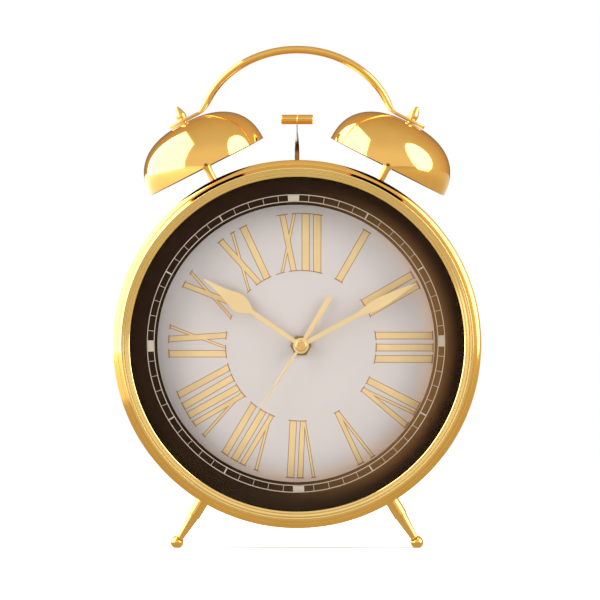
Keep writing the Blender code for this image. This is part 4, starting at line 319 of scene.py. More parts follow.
def bead(start, end, rise, steps=6):
    """Return points from start to end that swell towards the front."""
    points = []
    for step in range(steps + 1):
        along = step / steps
        level = start[1] + (end[1] - start[1]) * along
        points.append((start[0] + (end[0] - start[0]) * along, level - 4 * rise * along * (1 - along)))
    return points


def rounded(left, right, low, high, radius, steps=5):
    """Return the outline of a rectangle with round corners."""
    points = []
    for x, y, start in ((right - radius, high - radius, 0), (left + radius, high - radius, 90),
                        (left + radius, low + radius, 180), (right - radius, low + radius, 270)):
        points += arc((x, y), radius, start, start + 90, steps)
    return points


def flowing(points, steps):
    """Return a smooth row of points through the given ones."""
    row = [Vector(point) for point in points]
    smooth = []
    for index in range(len(row) - 1):
        start, end = row[index], row[index + 1]
        before = row[index - 1] if index else start * 2 - end
        after = row[index + 2] if index + 2 < len(row) else end * 2 - start
        for step in range(steps):
            along = step / steps
            square = along * along
            cube = square * along
            smooth.append((start * (2 - 5 * square + 3 * cube) + end * (along + 4 * square - 3 * cube)
                           + before * (2 * square - along - cube) + after * (cube - square)) / 2)
    return smooth + [row[-1]]


# Bodies

def turned(outline, sides):
    """Turn (radius, height) points about Z; an outline that starts on the axis also ends there."""
    body = bmesh.new()
    points = [body.verts.new((radius, 0, height)) for radius, height in outline]
    following = points[1:] + points[:1] if outline[0][0] > 0 else points[1:]
    edges = [body.edges.new(pair) for pair in zip(points, following)]
    bmesh.ops.spin(body, geom=points + edges, cent=(0, 0, 0), axis=(0, 0, 1), angle=2 * pi,
                   steps=sides, use_merge=True)
    bmesh.ops.remove_doubles(body, verts=body.verts, dist=MERGE_DISTANCE)
    bmesh.ops.recalc_face_normals(body, faces=body.faces)
    return body


def disc(radius, depths, sides):
    """Make a disc from its front to its rear depth."""
    front, rear = depths
    return turned([(0, front), (radius, front), (radius, rear), (0, rear)], sides)


def flat_ring(inner, outer, depths, sides):
    """Make a flat ring from its front to its rear depth."""
    front, rear = depths
    return turned([(inner, front), (outer, front), (outer, rear), (inner, rear)], sides)


def pushed(body, face, way):
    """Extrude a face along a way and return the moved face, in a list."""
    grown = bmesh.ops.extrude_face_region(body, geom=[face])["geom"]
    moved = [part for part in grown if isinstance(part, bmesh.types.BMVert)]
    bmesh.ops.translate(body, vec=way, verts=moved)
    return [part for part in grown if isinstance(part, bmesh.types.BMFace)]


def sheet(outline, front, rear):
    """Make a plate from a flat outline of (x, y) points."""
    body = bmesh.new()
    face = body.faces.new([body.verts.new((point[0], point[1], front)) for point in outline])
    pushed(body, face, (0, 0, rear - front))
    bmesh.ops.recalc_face_normals(body, faces=body.faces)
    return body


def swept(sections):
    """Bridge a row of closed sections that have the same number of points, and close both ends."""
    body = bmesh.new()
    rings = []
    for section in sections:
        points = [body.verts.new(point) for point in section]
        rings.append([body.edges.new(pair) for pair in zip(points, points[1:] + points[:1])])
    for before, after in zip(rings, rings[1:]):
        bmesh.ops.bridge_loops(body, edges=before + after)
    bmesh.ops.edgeloop_fill(body, edges=rings[0])
    bmesh.ops.edgeloop_fill(body, edges=rings[-1])
    bmesh.ops.recalc_face_normals(body, faces=body.faces)
    return body


def box(low, high):
    """Make a box given by its lowest and highest corners."""
    body = bmesh.new()
    size = Vector(high) - Vector(low)
    middle = (Vector(high) + Vector(low)) / 2
    bmesh.ops.create_cube(body, size=1, matrix=Matrix.Translation(middle) @ Matrix.Diagonal((*size, 1)))
    return body


def rod(radius, start, end, sides=32):
    """Make a cylinder from start to end."""
    body = bmesh.new()
    way = Vector(end) - Vector(start)
    middle = (Vector(end) + Vector(start)) / 2
    place = Matrix.Translation(middle) @ way.to_track_quat("Z", "Y").to_matrix().to_4x4()
    bmesh.ops.create_cone(body, cap_ends=True, segments=sides, radius1=radius, radius2=radius,
                          depth=way.length, matrix=place)
    return body


def add_ring_part(body, inner, outer, depths, start, end, steps):
    """Add a part of a flat ring, between two angles clockwise from the top."""
    front, rear = depths
    section = [body.verts.new((radius * sin(start), -radius * cos(start), depth))
               for radius, depth in ((inner, front), (outer, front), (outer, rear), (inner, rear))]
    face = body.faces.new(section)
    bmesh.ops.spin(body, geom=[face], cent=(0, 0, 0), axis=(0, 0, 1), angle=end - start, steps=steps)


def soften(body, width, segments=2, angle=30, keep=lambda edge: True):
    """Round the kept edges whose faces meet at more than an angle in degrees, and return the body."""
    body.normal_update()
    edges = [edge for edge in body.edges if len(edge.link_faces) == 2
             and edge.calc_face_angle() > radians(angle) and keep(edge)]
    bmesh.ops.bevel(body, geom=edges, offset=width, offset_type="OFFSET", segments=segments, profile=0.5,
                    affect="EDGES", clamp_overlap=True, material=-1)
    return body


def meshed(name, body):
    """Turn a body into a mesh."""
    mesh = bpy.data.meshes.new(name)
    body.to_mesh(mesh)
    body.free()
    return mesh


def added(name, data):
    """Add an object with its data to the scene."""
    made = bpy.data.objects.new(name, data)
    bpy.context.scene.collection.objects.link(made)
    return made


def joined(body, *others):
    """Add other bodies to a body, and return it."""
    for other in others:
        mesh = meshed("join", other)
        body.from_mesh(mesh)
        bpy.data.meshes.remove(mesh)
    return body


def cut(body, *tools):
    """Cut tools out of a body, and return the result."""
    made = []
    for part in (body, joined(*tools)):
        bmesh.ops.recalc_face_normals(part, faces=part.faces)
        made.append(added("tool", meshed("tool", part)))
    modifier = made[0].modifiers.new("cut", "BOOLEAN")
    modifier.operation = "DIFFERENCE"
    modifier.solver = "EXACT"
    modifier.object = made[1]
    result = bmesh.new()
    result.from_object(made[0], bpy.context.evaluated_depsgraph_get())
    for used in made:
        mesh = used.data
        bpy.data.objects.remove(used)
        bpy.data.meshes.remove(mesh)
    return result


def drilled(body, radius, front, rear, sides, right=0, down=0):
    """Cut a round hole between two depths out of a body, and return the result."""
    return cut(body, rod(radius, (right, down, front), (right, down, rear), sides))


def make_piece(name, body, place, finishes, node=None, carrier="root", sharp=38, even=True):
    """Turn a body into a finished piece that rides on a CAD body and stands for a node."""
    bmesh.ops.transform(body, matrix=place, verts=body.verts)
    bmesh.ops.remove_doubles(body, verts=body.verts, dist=MERGE_DISTANCE)
    bmesh.ops.recalc_face_normals(body, faces=body.faces)
    mesh = meshed(name, body)
    for finish_name in finishes:
        mesh.materials.append(finish(finish_name))
    mesh.shade_smooth()
    mesh.set_sharp_from_angle(angle=radians(sharp))
    made = added(name, mesh)
    if even:
        made.modifiers.new("even shading", "WEIGHTED_NORMAL").keep_sharp = True
    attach(made, carrier)
    if node:
        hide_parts(node)


# Finishes

class Nodes:
    """The node tree of a material or of the world, with short ways to add to it."""

    def __init__(self, owner):
        owner.use_nodes = True
        self.tree = owner.node_tree

    def fill(self, node, inputs):
        """Give a node's inputs their values, or link them to other nodes' outputs."""
        for name, value in inputs.items():
            socket = node.inputs[name]
            if isinstance(value, bpy.types.NodeSocket):
                self.tree.links.new(value, socket)
            else:
                socket.default_value = (*value, 1) if socket.type == "RGBA" else value

    def add(self, kind, inputs, output=0, **choices):
        """Add a node with its choices and inputs, and return one of its outputs."""
        node = self.tree.nodes.new("ShaderNode" + kind)
        for name, choice in choices.items():
            setattr(node, name, choice)
        self.fill(node, inputs)
        return node.outputs[output]

    def surface(self, inputs):
        """Fill the inputs of the material's own shader, and return its output."""
        shader = self.tree.nodes["Principled BSDF"]
        self.fill(shader, inputs)
        return shader.outputs["BSDF"]

    def place(self):
        """Return the piece's own coordinates."""
        return self.add("TexCoord", {}, "Object")

    def ray(self, kind):
        """Return a value that is 1 for one kind of ray."""
        return self.add("LightPath", {}, f"Is {kind} Ray")

    def math(self, operation, first, second):
        """Combine two values."""
        return self.add("Math", {0: first, 1: second}, operation=operation)

    def noise(self, scale, detail):
        """Return a noise on the piece's own coordinates."""
        return self.add("TexNoise", {"Scale": scale, "Detail": detail, "Vector": self.place()}, "Fac")

    def spread(self, source, low, high, first=0.0, last=1.0, kind="LINEAR"):
        """Spread a range of a value over another range."""
        ends = {"From Min": low, "From Max": high, "To Min": first, "To Max": last}
        return self.add("MapRange", {"Value": source, **ends}, interpolation_type=kind)

    def between(self, source, low, high):
        """Spread the middle of a pattern over a range."""
        return self.spread(source, 0.3, 0.7, low, high)

    def mixed(self, share, first, second):
        """Mix two tones."""
        return self.add("Mix", {"Factor": share, "A": first, "B": second}, "Result", data_type="RGBA")

    def chosen(self, share, first, second):
        """Mix two shaders, and use the result as the material's surface."""
        shader = self.add("MixShader", {0: share, 1: first, 2: second})
        self.fill(self.tree.nodes["Material Output"], {"Surface": shader})

    def toned(self, source, *stops):
        """Colour a value by a row of (position, tone) stops."""
        ramp = self.tree.nodes.new("ShaderNodeValToRGB")
        elements = ramp.color_ramp.elements
        for element, (position, tone) in zip(elements, (stops[0], stops[-1])):
            element.position = position
            element.color = (*tone, 1)
        for position, tone in stops[1:-1]:
            elements.new(position).color = (*tone, 1)
        self.fill(ramp, {"Fac": source})
        return ramp.outputs["Color"]

    def grained(self, cloud, darker, lighter, marks, roughness, relief, depth, polish):
        """Colour the surface by one pattern, and vary its roughness and relief by another."""
        bump = self.add("Bump", {"Strength": relief, "Distance": depth, "Height": marks})
        self.surface({**polish, "Base Color": self.toned(cloud, (0.35, darker), (0.65, lighter)),
                      "Roughness": self.between(marks, *roughness), "Normal": bump})


def scaled(tone, share):
    """Return a lighter or darker tone."""
    return tuple(min(1.0, value * share) for value in tone)


def metal(nodes, tone, deeper, roughness, grain, relief, lacquer=0.0):
    """Make a metal that varies from a tone to a deeper one, given as a tone or as a share of the first."""
    if isinstance(deeper, float):
        deeper = scaled(tone, deeper)
    nodes.grained(nodes.noise(38.0, 3.0), deeper, tone, nodes.noise(grain, 4.0), roughness, relief, 0.00002,
                  {"Metallic": 1.0, "Coat Weight": lacquer, "Coat Roughness": 0.05})


def plastic(nodes, tone, roughness, grain, relief, coat=0.0):
    """Make a moulded plastic or painted surface with a fine grain."""
    lighter = tuple(min(1.0, value * 1.06 + 0.002) for value in tone)
    nodes.grained(nodes.noise(25.0, 2.0), scaled(tone, 0.93), lighter, nodes.noise(grain, 3.0), roughness,
                  relief, 0.00005, {"Coat Weight": coat, "Coat Roughness": 0.1})


def foil(nodes, tone):
    """Make the gold print of the numerals."""
    nodes.grained(nodes.noise(60.0, 2.0), scaled(tone, 0.95), scaled(tone, 1.05), nodes.noise(1500.0, 3.0),
                  (0.38, 0.5), 0.15, 0.00003, {"Metallic": 0.25})


def clear_glass(nodes):
    """Make clear flat glass that lets the lamps through to the dial."""
    smear = nodes.between(nodes.noise(30.0, 2.0), 0.0, 0.004)
    glass = nodes.surface({"Base Color": (1, 1, 1), "Transmission Weight": 1.0, "IOR": 1.15,
                           "Roughness": smear})
    lets_through = nodes.math("MAXIMUM", nodes.ray("Shadow"), nodes.ray("Diffuse"))
    nodes.chosen(lets_through, glass, nodes.add("BsdfTransparent", {}))


def tone_with_painted_light(nodes, tone, painted_light_tone, reach, direction, side, roughness, specular=0.2):
    """Make a tone around the case axis with painted light: a warmer tone on one side of its rim that stands
    in for warm light from the gold.
    """
    place = nodes.add("Mapping", {"Location": (0, 0, -AXIS_HEIGHT), "Vector": nodes.place()})
    flat = nodes.add("VectorMath", {0: place, 1: (1, 0, 1)}, operation="MULTIPLY")
    away = nodes.add("VectorMath", {0: flat}, "Value", operation="LENGTH")
    across = nodes.add("VectorMath", {0: flat, 1: direction}, "Value", operation="DOT_PRODUCT")
    share = nodes.math("MULTIPLY", nodes.spread(away, *reach, kind="SMOOTHSTEP"),
                       nodes.spread(across, *side, kind="SMOOTHSTEP"))
    nodes.surface({"Specular IOR Level": specular, "Roughness": roughness,
                   "Base Color": nodes.mixed(share, tone, painted_light_tone)})


def wound_copper(nodes, tone):
    """Make enamelled copper wire, wound in fine turns."""
    turns = nodes.add("TexWave", {"Scale": 900.0, "Distortion": 0.4, "Vector": nodes.place()}, "Fac",
                      bands_direction="X")
    nodes.grained(turns, scaled(tone, 0.55), tone, turns, (0.5, 0.28), 0.4, 0.0001, {"Metallic": 0.8})


def printed_board(nodes):
    """Make a green circuit board with darker tracks under its lacquer."""
    tones = {"Color1": (0.02, 0.13, 0.05), "Color2": (0.03, 0.17, 0.07), "Mortar": (0.05, 0.25, 0.1)}
    tracks = nodes.add("TexBrick", {"Scale": 260.0, **tones, "Vector": nodes.place()}, "Color")
    nodes.surface({"Coat Weight": 0.4, "Base Color": tracks,
                   "Roughness": nodes.between(nodes.noise(300.0, 2.0), 0.3, 0.45)})


# Each finish is a kind and its values, where a tone is a colour or the name of a colour setting.
# Metal: tone, deeper tone, roughness, grain, relief and lacquer. Plastic: the same, without a deeper
# tone. Tone with painted light: tone, the painted light's warmer tone, the radii where it starts and
# is full, the direction of its side, the reaches along it where the side starts and is full, roughness
# and specular level.
FINISHES = {
    "polished_gold": (metal, "gold", "gold_shade", (0.07, 0.13), 900.0, 0.1, 0.5),
    "bezel_gold": (metal, "gold", "gold_shade", (0.07, 0.13), 900.0, 0.1, 0.2),
    "band_gold": (metal, (0.95, 0.69, 0.27), (0.9, 0.64, 0.24), (0.07, 0.13), 900.0, 0.1, 0.5),
    "bell_gold": (metal, "gold", "gold_shade", (0.05, 0.1), 700.0, 0.04, 0.5),
    # The bells' near-black inside is painted shade in their hollows
    "bell_inside": (metal, (0.1, 0.03, 0.01), (0.06, 0.018, 0.007), (0.3, 0.45), 900.0, 0.2),
    "satin_gold": (metal, "satin", 0.94, (0.3, 0.42), 1600.0, 0.25),
    "cap": (metal, (1.0, 0.68, 0.32), (0.93, 0.61, 0.26), (0.2, 0.3), 1200.0, 0.1),
    # The nut's dark olive tone is brass, darkened as painted shade from the hands over it
    "nut": (metal, (0.4, 0.29, 0.1), (0.33, 0.24, 0.08), (0.26, 0.4), 1400.0, 0.2),
    "warm_steel": (metal, (0.42, 0.22, 0.08), (0.2, 0.09, 0.03), (0.2, 0.34), 500.0, 0.25),
    "steel": (metal, "steel", 0.85, (0.28, 0.42), 1400.0, 0.25),
    "brass": (metal, "brass", 0.82, (0.26, 0.4), 1400.0, 0.2),
    "sleeve_end": (metal, (0.7, 0.42, 0.22), (0.62, 0.36, 0.18), (0.2, 0.3), 900.0, 0.1),
    "magnet": (metal, (0.12, 0.12, 0.13), (0.08, 0.08, 0.09), (0.35, 0.5), 1200.0, 0.3),
    "brown_print": (plastic, "edge", (0.45, 0.6), 2500.0, 0.1),
    "track": (plastic, "track", (0.45, 0.6), 2500.0, 0.1),
    "black_plastic": (plastic, "black", (0.34, 0.5), 2600.0, 0.3),
    "white_plastic": (plastic, "white", (0.38, 0.52), 1500.0, 0.15),
    "sleeve": (plastic, (0.03, 0.03, 0.035), (0.24, 0.32), 900.0, 0.05, 0.5),
    # The dial's and the dark ring's warmer rim tones are painted light: a painted warm bounce from the gold
    # on the dial's lower right, and a painted brown reflection on the ring's right side.
    "dial": (tone_with_painted_light, "dial", (0.86, 0.62, 0.45), (0.064, 0.0775), (0.8, 0, -0.6), (-0.05, 0.07), 0.5),
    "dark_ring": (tone_with_painted_light, "ring", (0.175, 0.085, 0.028), (0.0885, 0.077), (0.95, 0, -0.1),
                  (-0.02, 0.075), 0.3, 0.06),
    "foil": (foil, "foil"),
    "copper": (wound_copper, "copper"),
    "board": (printed_board,),
    "glass": (clear_glass,),
}


def finish(name):
    """Return a finish by name, made when it is first asked for."""
    full_name = f"{name}_finish"
    if full_name not in bpy.data.materials:
        kind, *values = FINISHES[name]
        tones = settings().colours
        kind(Nodes(bpy.data.materials.new(full_name)),
             *(getattr(tones, value) if isinstance(value, str) else value for value in values))
    return bpy.data.materials[full_name]


# Case

def bezel_outline(case):
    """Return the bezel's half section: a roll that faces outwards, a step up to the bands, and the lip."""
    band = case.radius - 2 * case.roll
    roll_start = band + case.step
    crest, edge, drop = 0.00015, 0.0008, 0.0020
    steep, gentle = radians(60), radians(20)
    foot = roll_start + crest + crest * sin(gentle)
    level = drop + crest * (1 - cos(gentle))
    outer = case.radius - edge * (1 - sin(steep))
    slope = (outer - foot) / (sin(steep) - sin(gentle))
    low = level + slope * (cos(gentle) - cos(steep))
    points = [(case.radius, case.skirt_depth)]
    points += arc((outer - edge * sin(steep), low + edge * cos(steep)), edge, 0, -30, 5)
    points += arc((foot - slope * sin(gentle), level + slope * cos(gentle)), slope, -30, -70, 14)
    points += arc((roll_start + crest, drop + crest), crest, -70, -150, 6)
    points += [(roll_start, 0.0021), (band - 0.0004, 0.0004), (band - 0.00046, 0.0002)]
    for start, end, swell, groove in BANDS:
        points += [(band - reach, depth) for reach, depth in (*bead(start, end, swell), *groove)]
    bore = case.radius - case.skirt_wall
    return points + [(points[-1][0], case.lip_depth), (bore, case.lip_depth), (bore, case.skirt_depth)]


def make_case(case):
    """Make the bezel and the drum behind it, with the slot for the hammer."""
    bezel = turned(bezel_outline(case), case.sides)
    band = case.radius - 2 * case.roll
    for face in bezel.faces:
        radius = face.calc_center_median().xy.length
        if radius < band - 0.0002 or abs(radius - band - case.step) < 0.0002:
            face.material_index = 1
    make_piece("bezel_ring", bezel, DIAL_FRAME, ["bezel_gold", "band_gold"], "bezel")

    outer = case.radius - case.skirt_wall - FIT
    inner = outer - case.drum_wall
    front = case.lip_depth + FIT
    shelf, (shelf_front, shelf_rear) = inner - 0.003, DRUM_SHELF
    drum = turned([(outer, front), (outer, case.drum_rear), (inner, case.drum_rear), (inner, shelf_rear),
                   (shelf, shelf_rear), (shelf, shelf_front), (inner, shelf_front), (inner, front)],
                  case.sides)
    depth, half, width, low = BELL_PLANE - FRONT, 0.009, 0.0024, -0.09
    ends = [rod(width, (side * half, -case.radius, depth), (side * half, low, depth))
            for side in SIDES.values()]
    slot = box((-half, -case.radius, depth - width), (half, low, depth + width))
    make_piece("case_drum_shell", cut(drum, slot, *ends), DIAL_FRAME, ["polished_gold"],
               "case_drum")


def cover_sides():
    """Return the battery cover's left, right, top and bottom in the dial frame."""
    return COVER_LOW.x, COVER_HIGH.x, AXIS_HEIGHT - COVER_HIGH.z, AXIS_HEIGHT - COVER_LOW.z


def make_back(case):
    """Make the back cover with its groove, openings and battery rails, and its screws."""
    front = case.drum_rear + FIT
    rear = front + case.cover_thickness
    bore = case.radius - case.skirt_wall
    radius = bore + case.cover_thickness
    groove_inner, groove_outer = COVER_GROOVE
    cover = turned([(0, front), (bore, front), (bore, rear - case.cover_flange),
                    (radius, rear - case.cover_flange), (radius, rear - 0.0012),
                    (radius - 0.0004, rear - 0.0004), (radius - 0.0012, rear), (groove_outer, rear),
                    (groove_outer - 0.0005, rear - 0.0004), (groove_inner + 0.0005, rear - 0.0004),
                    (groove_inner, rear), (0, rear)], case.sides)
    before, behind = front - 0.001, rear + 0.001
    left, right, top, bottom = cover_sides()
    opening = rounded(left + 0.0004, right - 0.0004, top + 0.0004, bottom - 0.0004, 0.001)
    tools = [sheet(opening, before, behind),
             box((-0.0018, -SWITCH_RISE - 0.0015, before), (0.0058, -SWITCH_RISE + 0.0015, behind))]
    for knob in (TIME_KNOB, ALARM_KNOB):
        down = AXIS_HEIGHT - knob.z
        tools.append(rod(0.0015, (knob.x, down, before), (knob.x, down, behind)))
    cover = cut(cover, *tools)
    foot, lip = rear - 0.0003, rear + FIT + 0.0013 + FIT
    for side, edge in ((1, bottom + FIT), (-1, top - FIT)):
        outside, inside = edge + side * 0.001, edge - side * 0.0009
        section = [(edge, foot), (outside, foot), (outside, lip + 0.0006), (inside, lip + 0.0006),
                   (inside, lip), (edge, lip)]
        rail = swept([[(x, down, depth) for down, depth in section] for x in (left - 0.02, right)])
        joined(cover, soften(rail, 0.00012))
    make_piece("rear_cover", cover, DIAL_FRAME, ["polished_gold"], "back_cover")
    make_screws(rear + FIT)


def make_screws(head):
    """Make the four cross-head screws of the back cover."""
    outline = [(0, 0.0564), (0.0012, 0.0566), (0.0012, head), (0.0026, head), (0.0026, head + 0.0007)]
    outline += arc((0.0014, head + 0.0004), 0.0012, 0, 90, 5)[1:] + [(0, head + 0.0016)]
    for number in range(1, 5):
        angle = radians(45 + 90 * (number - 1))
        screw = turned(outline, 40)
        for turn in (number, number + pi / 2):
            bar = box((-0.0015, -0.00025, head + 0.0007), (0.0015, 0.00025, head + 0.002))
            bmesh.ops.rotate(bar, verts=bar.verts, cent=(0, 0, 0), matrix=Matrix.Rotation(turn, 3, "Z"))
            screw = cut(screw, bar)
        place = at(SCREW_CIRCLE * cos(angle), SCREW_CIRCLE * sin(angle))
        make_piece(f"cover_screw_{number}", screw, DIAL_FRAME @ place, ["steel"],
                   f"back_cover_screw_{number}")


# Dial

def make_dial_stack(sizes, sides):
    """Make what lies behind the bezel: glass, dark ring, spacer and dial."""
    radius = sizes.stack_radius
    glass = soften(disc(radius, GLASS, sides), 0.0003)
    make_piece("front_glass", glass, DIAL_FRAME, ["glass"], "glass")

    ring = drilled(disc(radius, DARK_RING, sides), sizes.ring_bore, DARK_RING[0] - 0.0009,
                   DARK_RING[1] + 0.0009, sides, -sizes.ring_left, -sizes.ring_rise)
    make_piece("dark_minute_ring", soften(ring, 0.0002, 2, 60), DIAL_FRAME, ["dark_ring"],
               "minute_ring")

    spacer = soften(flat_ring(0.0926, radius, SPACER, sides), 0.0002)
    make_piece("spacer_sleeve", spacer, DIAL_FRAME, ["black_plastic"], "dial_spacer")

    dial = drilled(disc(radius, DIAL, sides), MOVEMENT_HOLE, DIAL[0] - 0.0009, DIAL[1] + 0.0013, 48,
                   MOVEMENT.x, AXIS_HEIGHT - MOVEMENT.z)
    make_piece("dial_plate", dial, DIAL_FRAME, ["dial"], "dial")


def make_track(sizes):
    """Print the minute track on the dark ring."""
    half = sizes.track_line / 2
    inner, outer = sizes.track_inner, sizes.track_outer
    track = joined(*(flat_ring(radius - half, radius + half, TRACK, 240) for radius in (inner, outer)))
    for minute in range(60):
        angle = radians(6 * minute)
        width, steps = MINUTE_MARK, 1
        if minute % 15 == 0:
            width, steps = QUARTER_MARK, 6
        elif minute % 5 == 0:
            width = FIVE_MINUTE_MARK
        reach = width / 2 / outer
        add_ring_part(track, inner, outer, TRACK, angle - reach, angle + reach, steps)
    place = (DIAL_FRAME @ at(-sizes.ring_left, -sizes.ring_rise)
             @ Matrix.Rotation(radians(-1), 4, "Z"))
    make_piece("minute_track", track, place, ["track"], even=False)


def stroke(body, sizes, outer, outer_width, inner, inner_width, level):
    """Add one printed stroke whose ends follow the dial's circles, a little higher at each level."""
    sheet_depth, rise, rise_of_level = -0.00001, 0.00003, 0.000004
    corners = []
    for offset, radius in ((inner - inner_width / 2, sizes.numeral_inner),
                           (inner + inner_width / 2, sizes.numeral_inner),
                           (outer + outer_width / 2, sizes.numeral_outer),
                           (outer - outer_width / 2, sizes.numeral_outer)):
        corners.append(body.verts.new((offset, -sqrt(radius * radius - offset * offset), sheet_depth)))
    front = pushed(body, body.faces.new(corners), (0, 0, sheet_depth))
    body.normal_update()
    bmesh.ops.inset_individual(body, faces=front, thickness=sizes.numeral_edge,
                               depth=rise + level * rise_of_level, use_even_offset=True)
    for part in front:
        part.material_index = 1


def united(spans):
    """Return the spans in order, with those that touch or overlap made one."""
    whole = []
    for start, end in sorted(spans):
        if whole and start <= whole[-1][1] + MERGE_DISTANCE:
            whole[-1] = (whole[-1][0], max(end, whole[-1][1]))
        else:
            whole.append((start, end))
    return whole


def make_numerals(sizes):
    """Print the twelve numerals on the dial."""
    half = sizes.serif / 2
    ends = {"outer": sizes.numeral_outer, "inner": sizes.numeral_inner}
    numerals = bmesh.new()
    for place_number, (name, strokes) in enumerate(NUMERALS.items()):
        body = bmesh.new()
        serifs = LONG_SERIFS.get(name, {"outer": (), "inner": ()})
        spans = {end: [(start / 1000, stop / 1000) for start, stop in serifs[end]] for end in ends}
        for level, widths in enumerate(strokes):
            outer, outer_width, inner, inner_width = (width / 1000 for width in widths)
            stroke(body, sizes, outer, outer_width, inner, inner_width, level)
            for end, offset, width in (("outer", outer, outer_width), ("inner", inner, inner_width)):
                reach = width / 2 + sizes.serif_overrun
                spans[end].append((offset - reach, offset + reach))
        for end, radius in ends.items():
            for start, stop in united(spans[end]):
                add_ring_part(body, radius - half, radius + half, (-0.00007, 0.0), asin(start / radius),
                              asin(stop / radius), max(2, round((stop - start) / 0.0012)))
        turn = Matrix.Rotation(radians(30 * place_number), 4, "Z")
        bmesh.ops.transform(body, matrix=turn, verts=body.verts)
        joined(numerals, body)
    place = HAND_FRAME @ at(0, 0, DIAL[0])
    make_piece("numerals", numerals, place, ["brown_print", "foil"], even=False)


# Hands

def hand_outline(sides, hub):
    """Return a hand's outline from its right side, as (reach, half width) points, with a round hub."""
    opening = asin(sides[0][1] / hub)
    turn = 2 * pi - 2 * opening
    steps = 40
    around = [opening + turn * step / steps for step in range(steps + 1)]
    points = [(hub * sin(angle), -hub * cos(angle)) for angle in around]
    points += [(-half, -reach) for reach, half in sides[1:]]
    return points + [(half, -reach) for reach, half in sides[:0:-1]]


def blade(start, length, width, shares, shank):
    """Return the right side of a hand with a shank and a shaped blade."""
    smooth = flowing([(start + along * (length - start), part * width / 2) for along, part in shares], 4)
    return [(0, shank / 2)] + [(point[0], point[1]) for point in smooth]


def make_hands(sizes):
    """Make the four hands; the second hand has a cap in place of a bore."""
    cap_round, cap_front, cap_rear = 0.0006, -0.0011, 0.0003
    alarm = [(0, 0.0011), (sizes.alarm_length - 0.0012, 0.0015), (sizes.alarm_length, 0.0004)]
    hour = blade(sizes.hour_start, sizes.hour_length, sizes.hour_width, SPADE_SHARES, sizes.shank)
    minute = blade(sizes.minute_start, sizes.minute_length, sizes.minute_width, LEAF_SHARES, sizes.shank)
    second = [(0, 0.00075), (sizes.second_length, 0.00035)]
    for name, form, sides, hub, bore, depth, angle, body_name in (
            ("alarm_hand", "pointer", alarm, sizes.hub, 0.00315, 0.0166, ALARM_ANGLE, "alarm"),
            ("hour_hand", "spade", hour, sizes.hub, 0.00235, 0.0153, HOUR_ANGLE, "hours"),
            ("minute_hand", "leaf", minute, sizes.hub, 0.00155, 0.014, MINUTE_ANGLE, "minutes"),
            ("second_hand", "needle", second, 0.0034, 0, 0.0127, SECOND_ANGLE, "seconds")):
        hand = soften(sheet(hand_outline(sides, hub), 0, sizes.thickness), 0.00011, 2, 60)
        if bore:
            hand = drilled(hand, bore, -0.001, 0.002, 40)
        else:
            side = arc((sizes.cap - cap_round, cap_front + cap_round), cap_round, -90, 0, 5)
            joined(hand, turned([(0, cap_front), (sizes.cap - 0.0009, cap_front), *side,
                                 (sizes.cap, cap_rear), (0, cap_rear)], 48))
            for face in hand.faces:
                middle = face.calc_center_median()
                face.material_index = int(middle.z < -0.00001 and middle.to_2d().length < 0.0035)
        place = HAND_FRAME @ at(0, 0, depth) @ Matrix.Rotation(angle, 4, "Z")
        make_piece(f"{name}_{form}", hand, place, ["satin_gold", "cap"], name, body_name)


def make_hub():
    """Make the hexagon nut that holds the dial."""
    nut = sheet(arc((0, 0), 0.0059, 0, 300, 5), 0, 0.0015)
    soften(nut, 0.00025, 2, 60, lambda edge: min(vert.co.z for vert in edge.verts) < 0.0001)
    nut = drilled(nut, MOVEMENT_HOLE, -0.001, 0.003, 48)
    make_piece("dial_nut", nut, HAND_FRAME @ at(0, 0, 0.0181), ["nut"],
               "movement_nut")


# Bells and handle

def bell_frame(side):
    """Return the frame of a bell's axis, which leans outwards on its side."""
    return at(0, BELL_PLANE, AXIS_HEIGHT) @ Matrix.Rotation(side * BELL_ANGLE, 4, "Y")


def dome(radius, height, rim, steps):
    """Return the half section of a full dome, from its rim to the hole in its crown."""
    fullness, hole = 2.4, 0.0018
    power = 2 / fullness
    start = acos((hole / radius) ** (1 / power))
    angles = [start * step / steps for step in range(steps + 1)]
    return [(radius * cos(angle) ** power, rim + height * sin(angle) ** power) for angle in angles]


def make_bells(sizes):
    """Make both bells, gold outside, and near-black inside as painted shade in their hollows."""
    outer = dome(sizes.radius, sizes.height, sizes.rim_distance, 44)
    inner = dome(sizes.radius - sizes.wall, sizes.height - sizes.wall, sizes.rim_distance, 34)
    rim = Vector((0, 0, sizes.rim_distance))
    for name, side in SIDES.items():
        bell = soften(turned(outer[::-1] + inner, 128), 0.0002, 2, 60)
        bell.normal_update()
        for face in bell.faces:
            # Faces inside the bell take the painted shade
            face.material_index = int(face.normal.dot(face.calc_center_median() - rim) < 0)
        make_piece(f"bell_dome_{name}", bell, bell_frame(side), ["bell_gold", "bell_inside"],
                   f"bell_{name}")


def post_outline(sizes):
    """Return the half section of a bell's post."""
    thread, rim, post = 0.0015, sizes.rim_distance, sizes.post
    (start, end), top = POST_ENDS, rim + sizes.height - sizes.wall - FIT
    neck, collar = post - 0.0002, post + 0.0006
    return [(0, start), (thread, start), (thread, SHOULDER), (neck, SHOULDER), (neck, rim - 0.002),
            (collar, rim + 0.0008), (collar, rim + 0.002), (post, rim + 0.003), (post, top),
            (thread, top), (thread, end), (0, end)]


def finial_outline(start):
    """Return the half section of a finial nut, a small cone with a rounded tip."""
    points = [(0, start), (0.00255, start), (0.0027, start + 0.00025)]
    points += [(point[0], start + point[1]) for point in flowing(FINIAL, 3)]
    return points + arc((0.0, start + 0.0061), 0.00122, 20, 90, 6)[:-1] + [(0, start + 0.0073)]


def make_posts(sizes):
    """Make the bells' posts and the finial nuts on top of them."""
    for name, side in SIDES.items():
        post = soften(turned(post_outline(sizes), 48), 0.0001, 2, 40)
        finial = turned(finial_outline(sizes.finial_start), 48)
        for piece, body, node in (("bell_post_rod", post, "bell_post"), ("finial_urn", finial, "finial")):
            make_piece(f"{piece}_{name}", body, bell_frame(side), ["polished_gold"],
                       f"{node}_{name}")


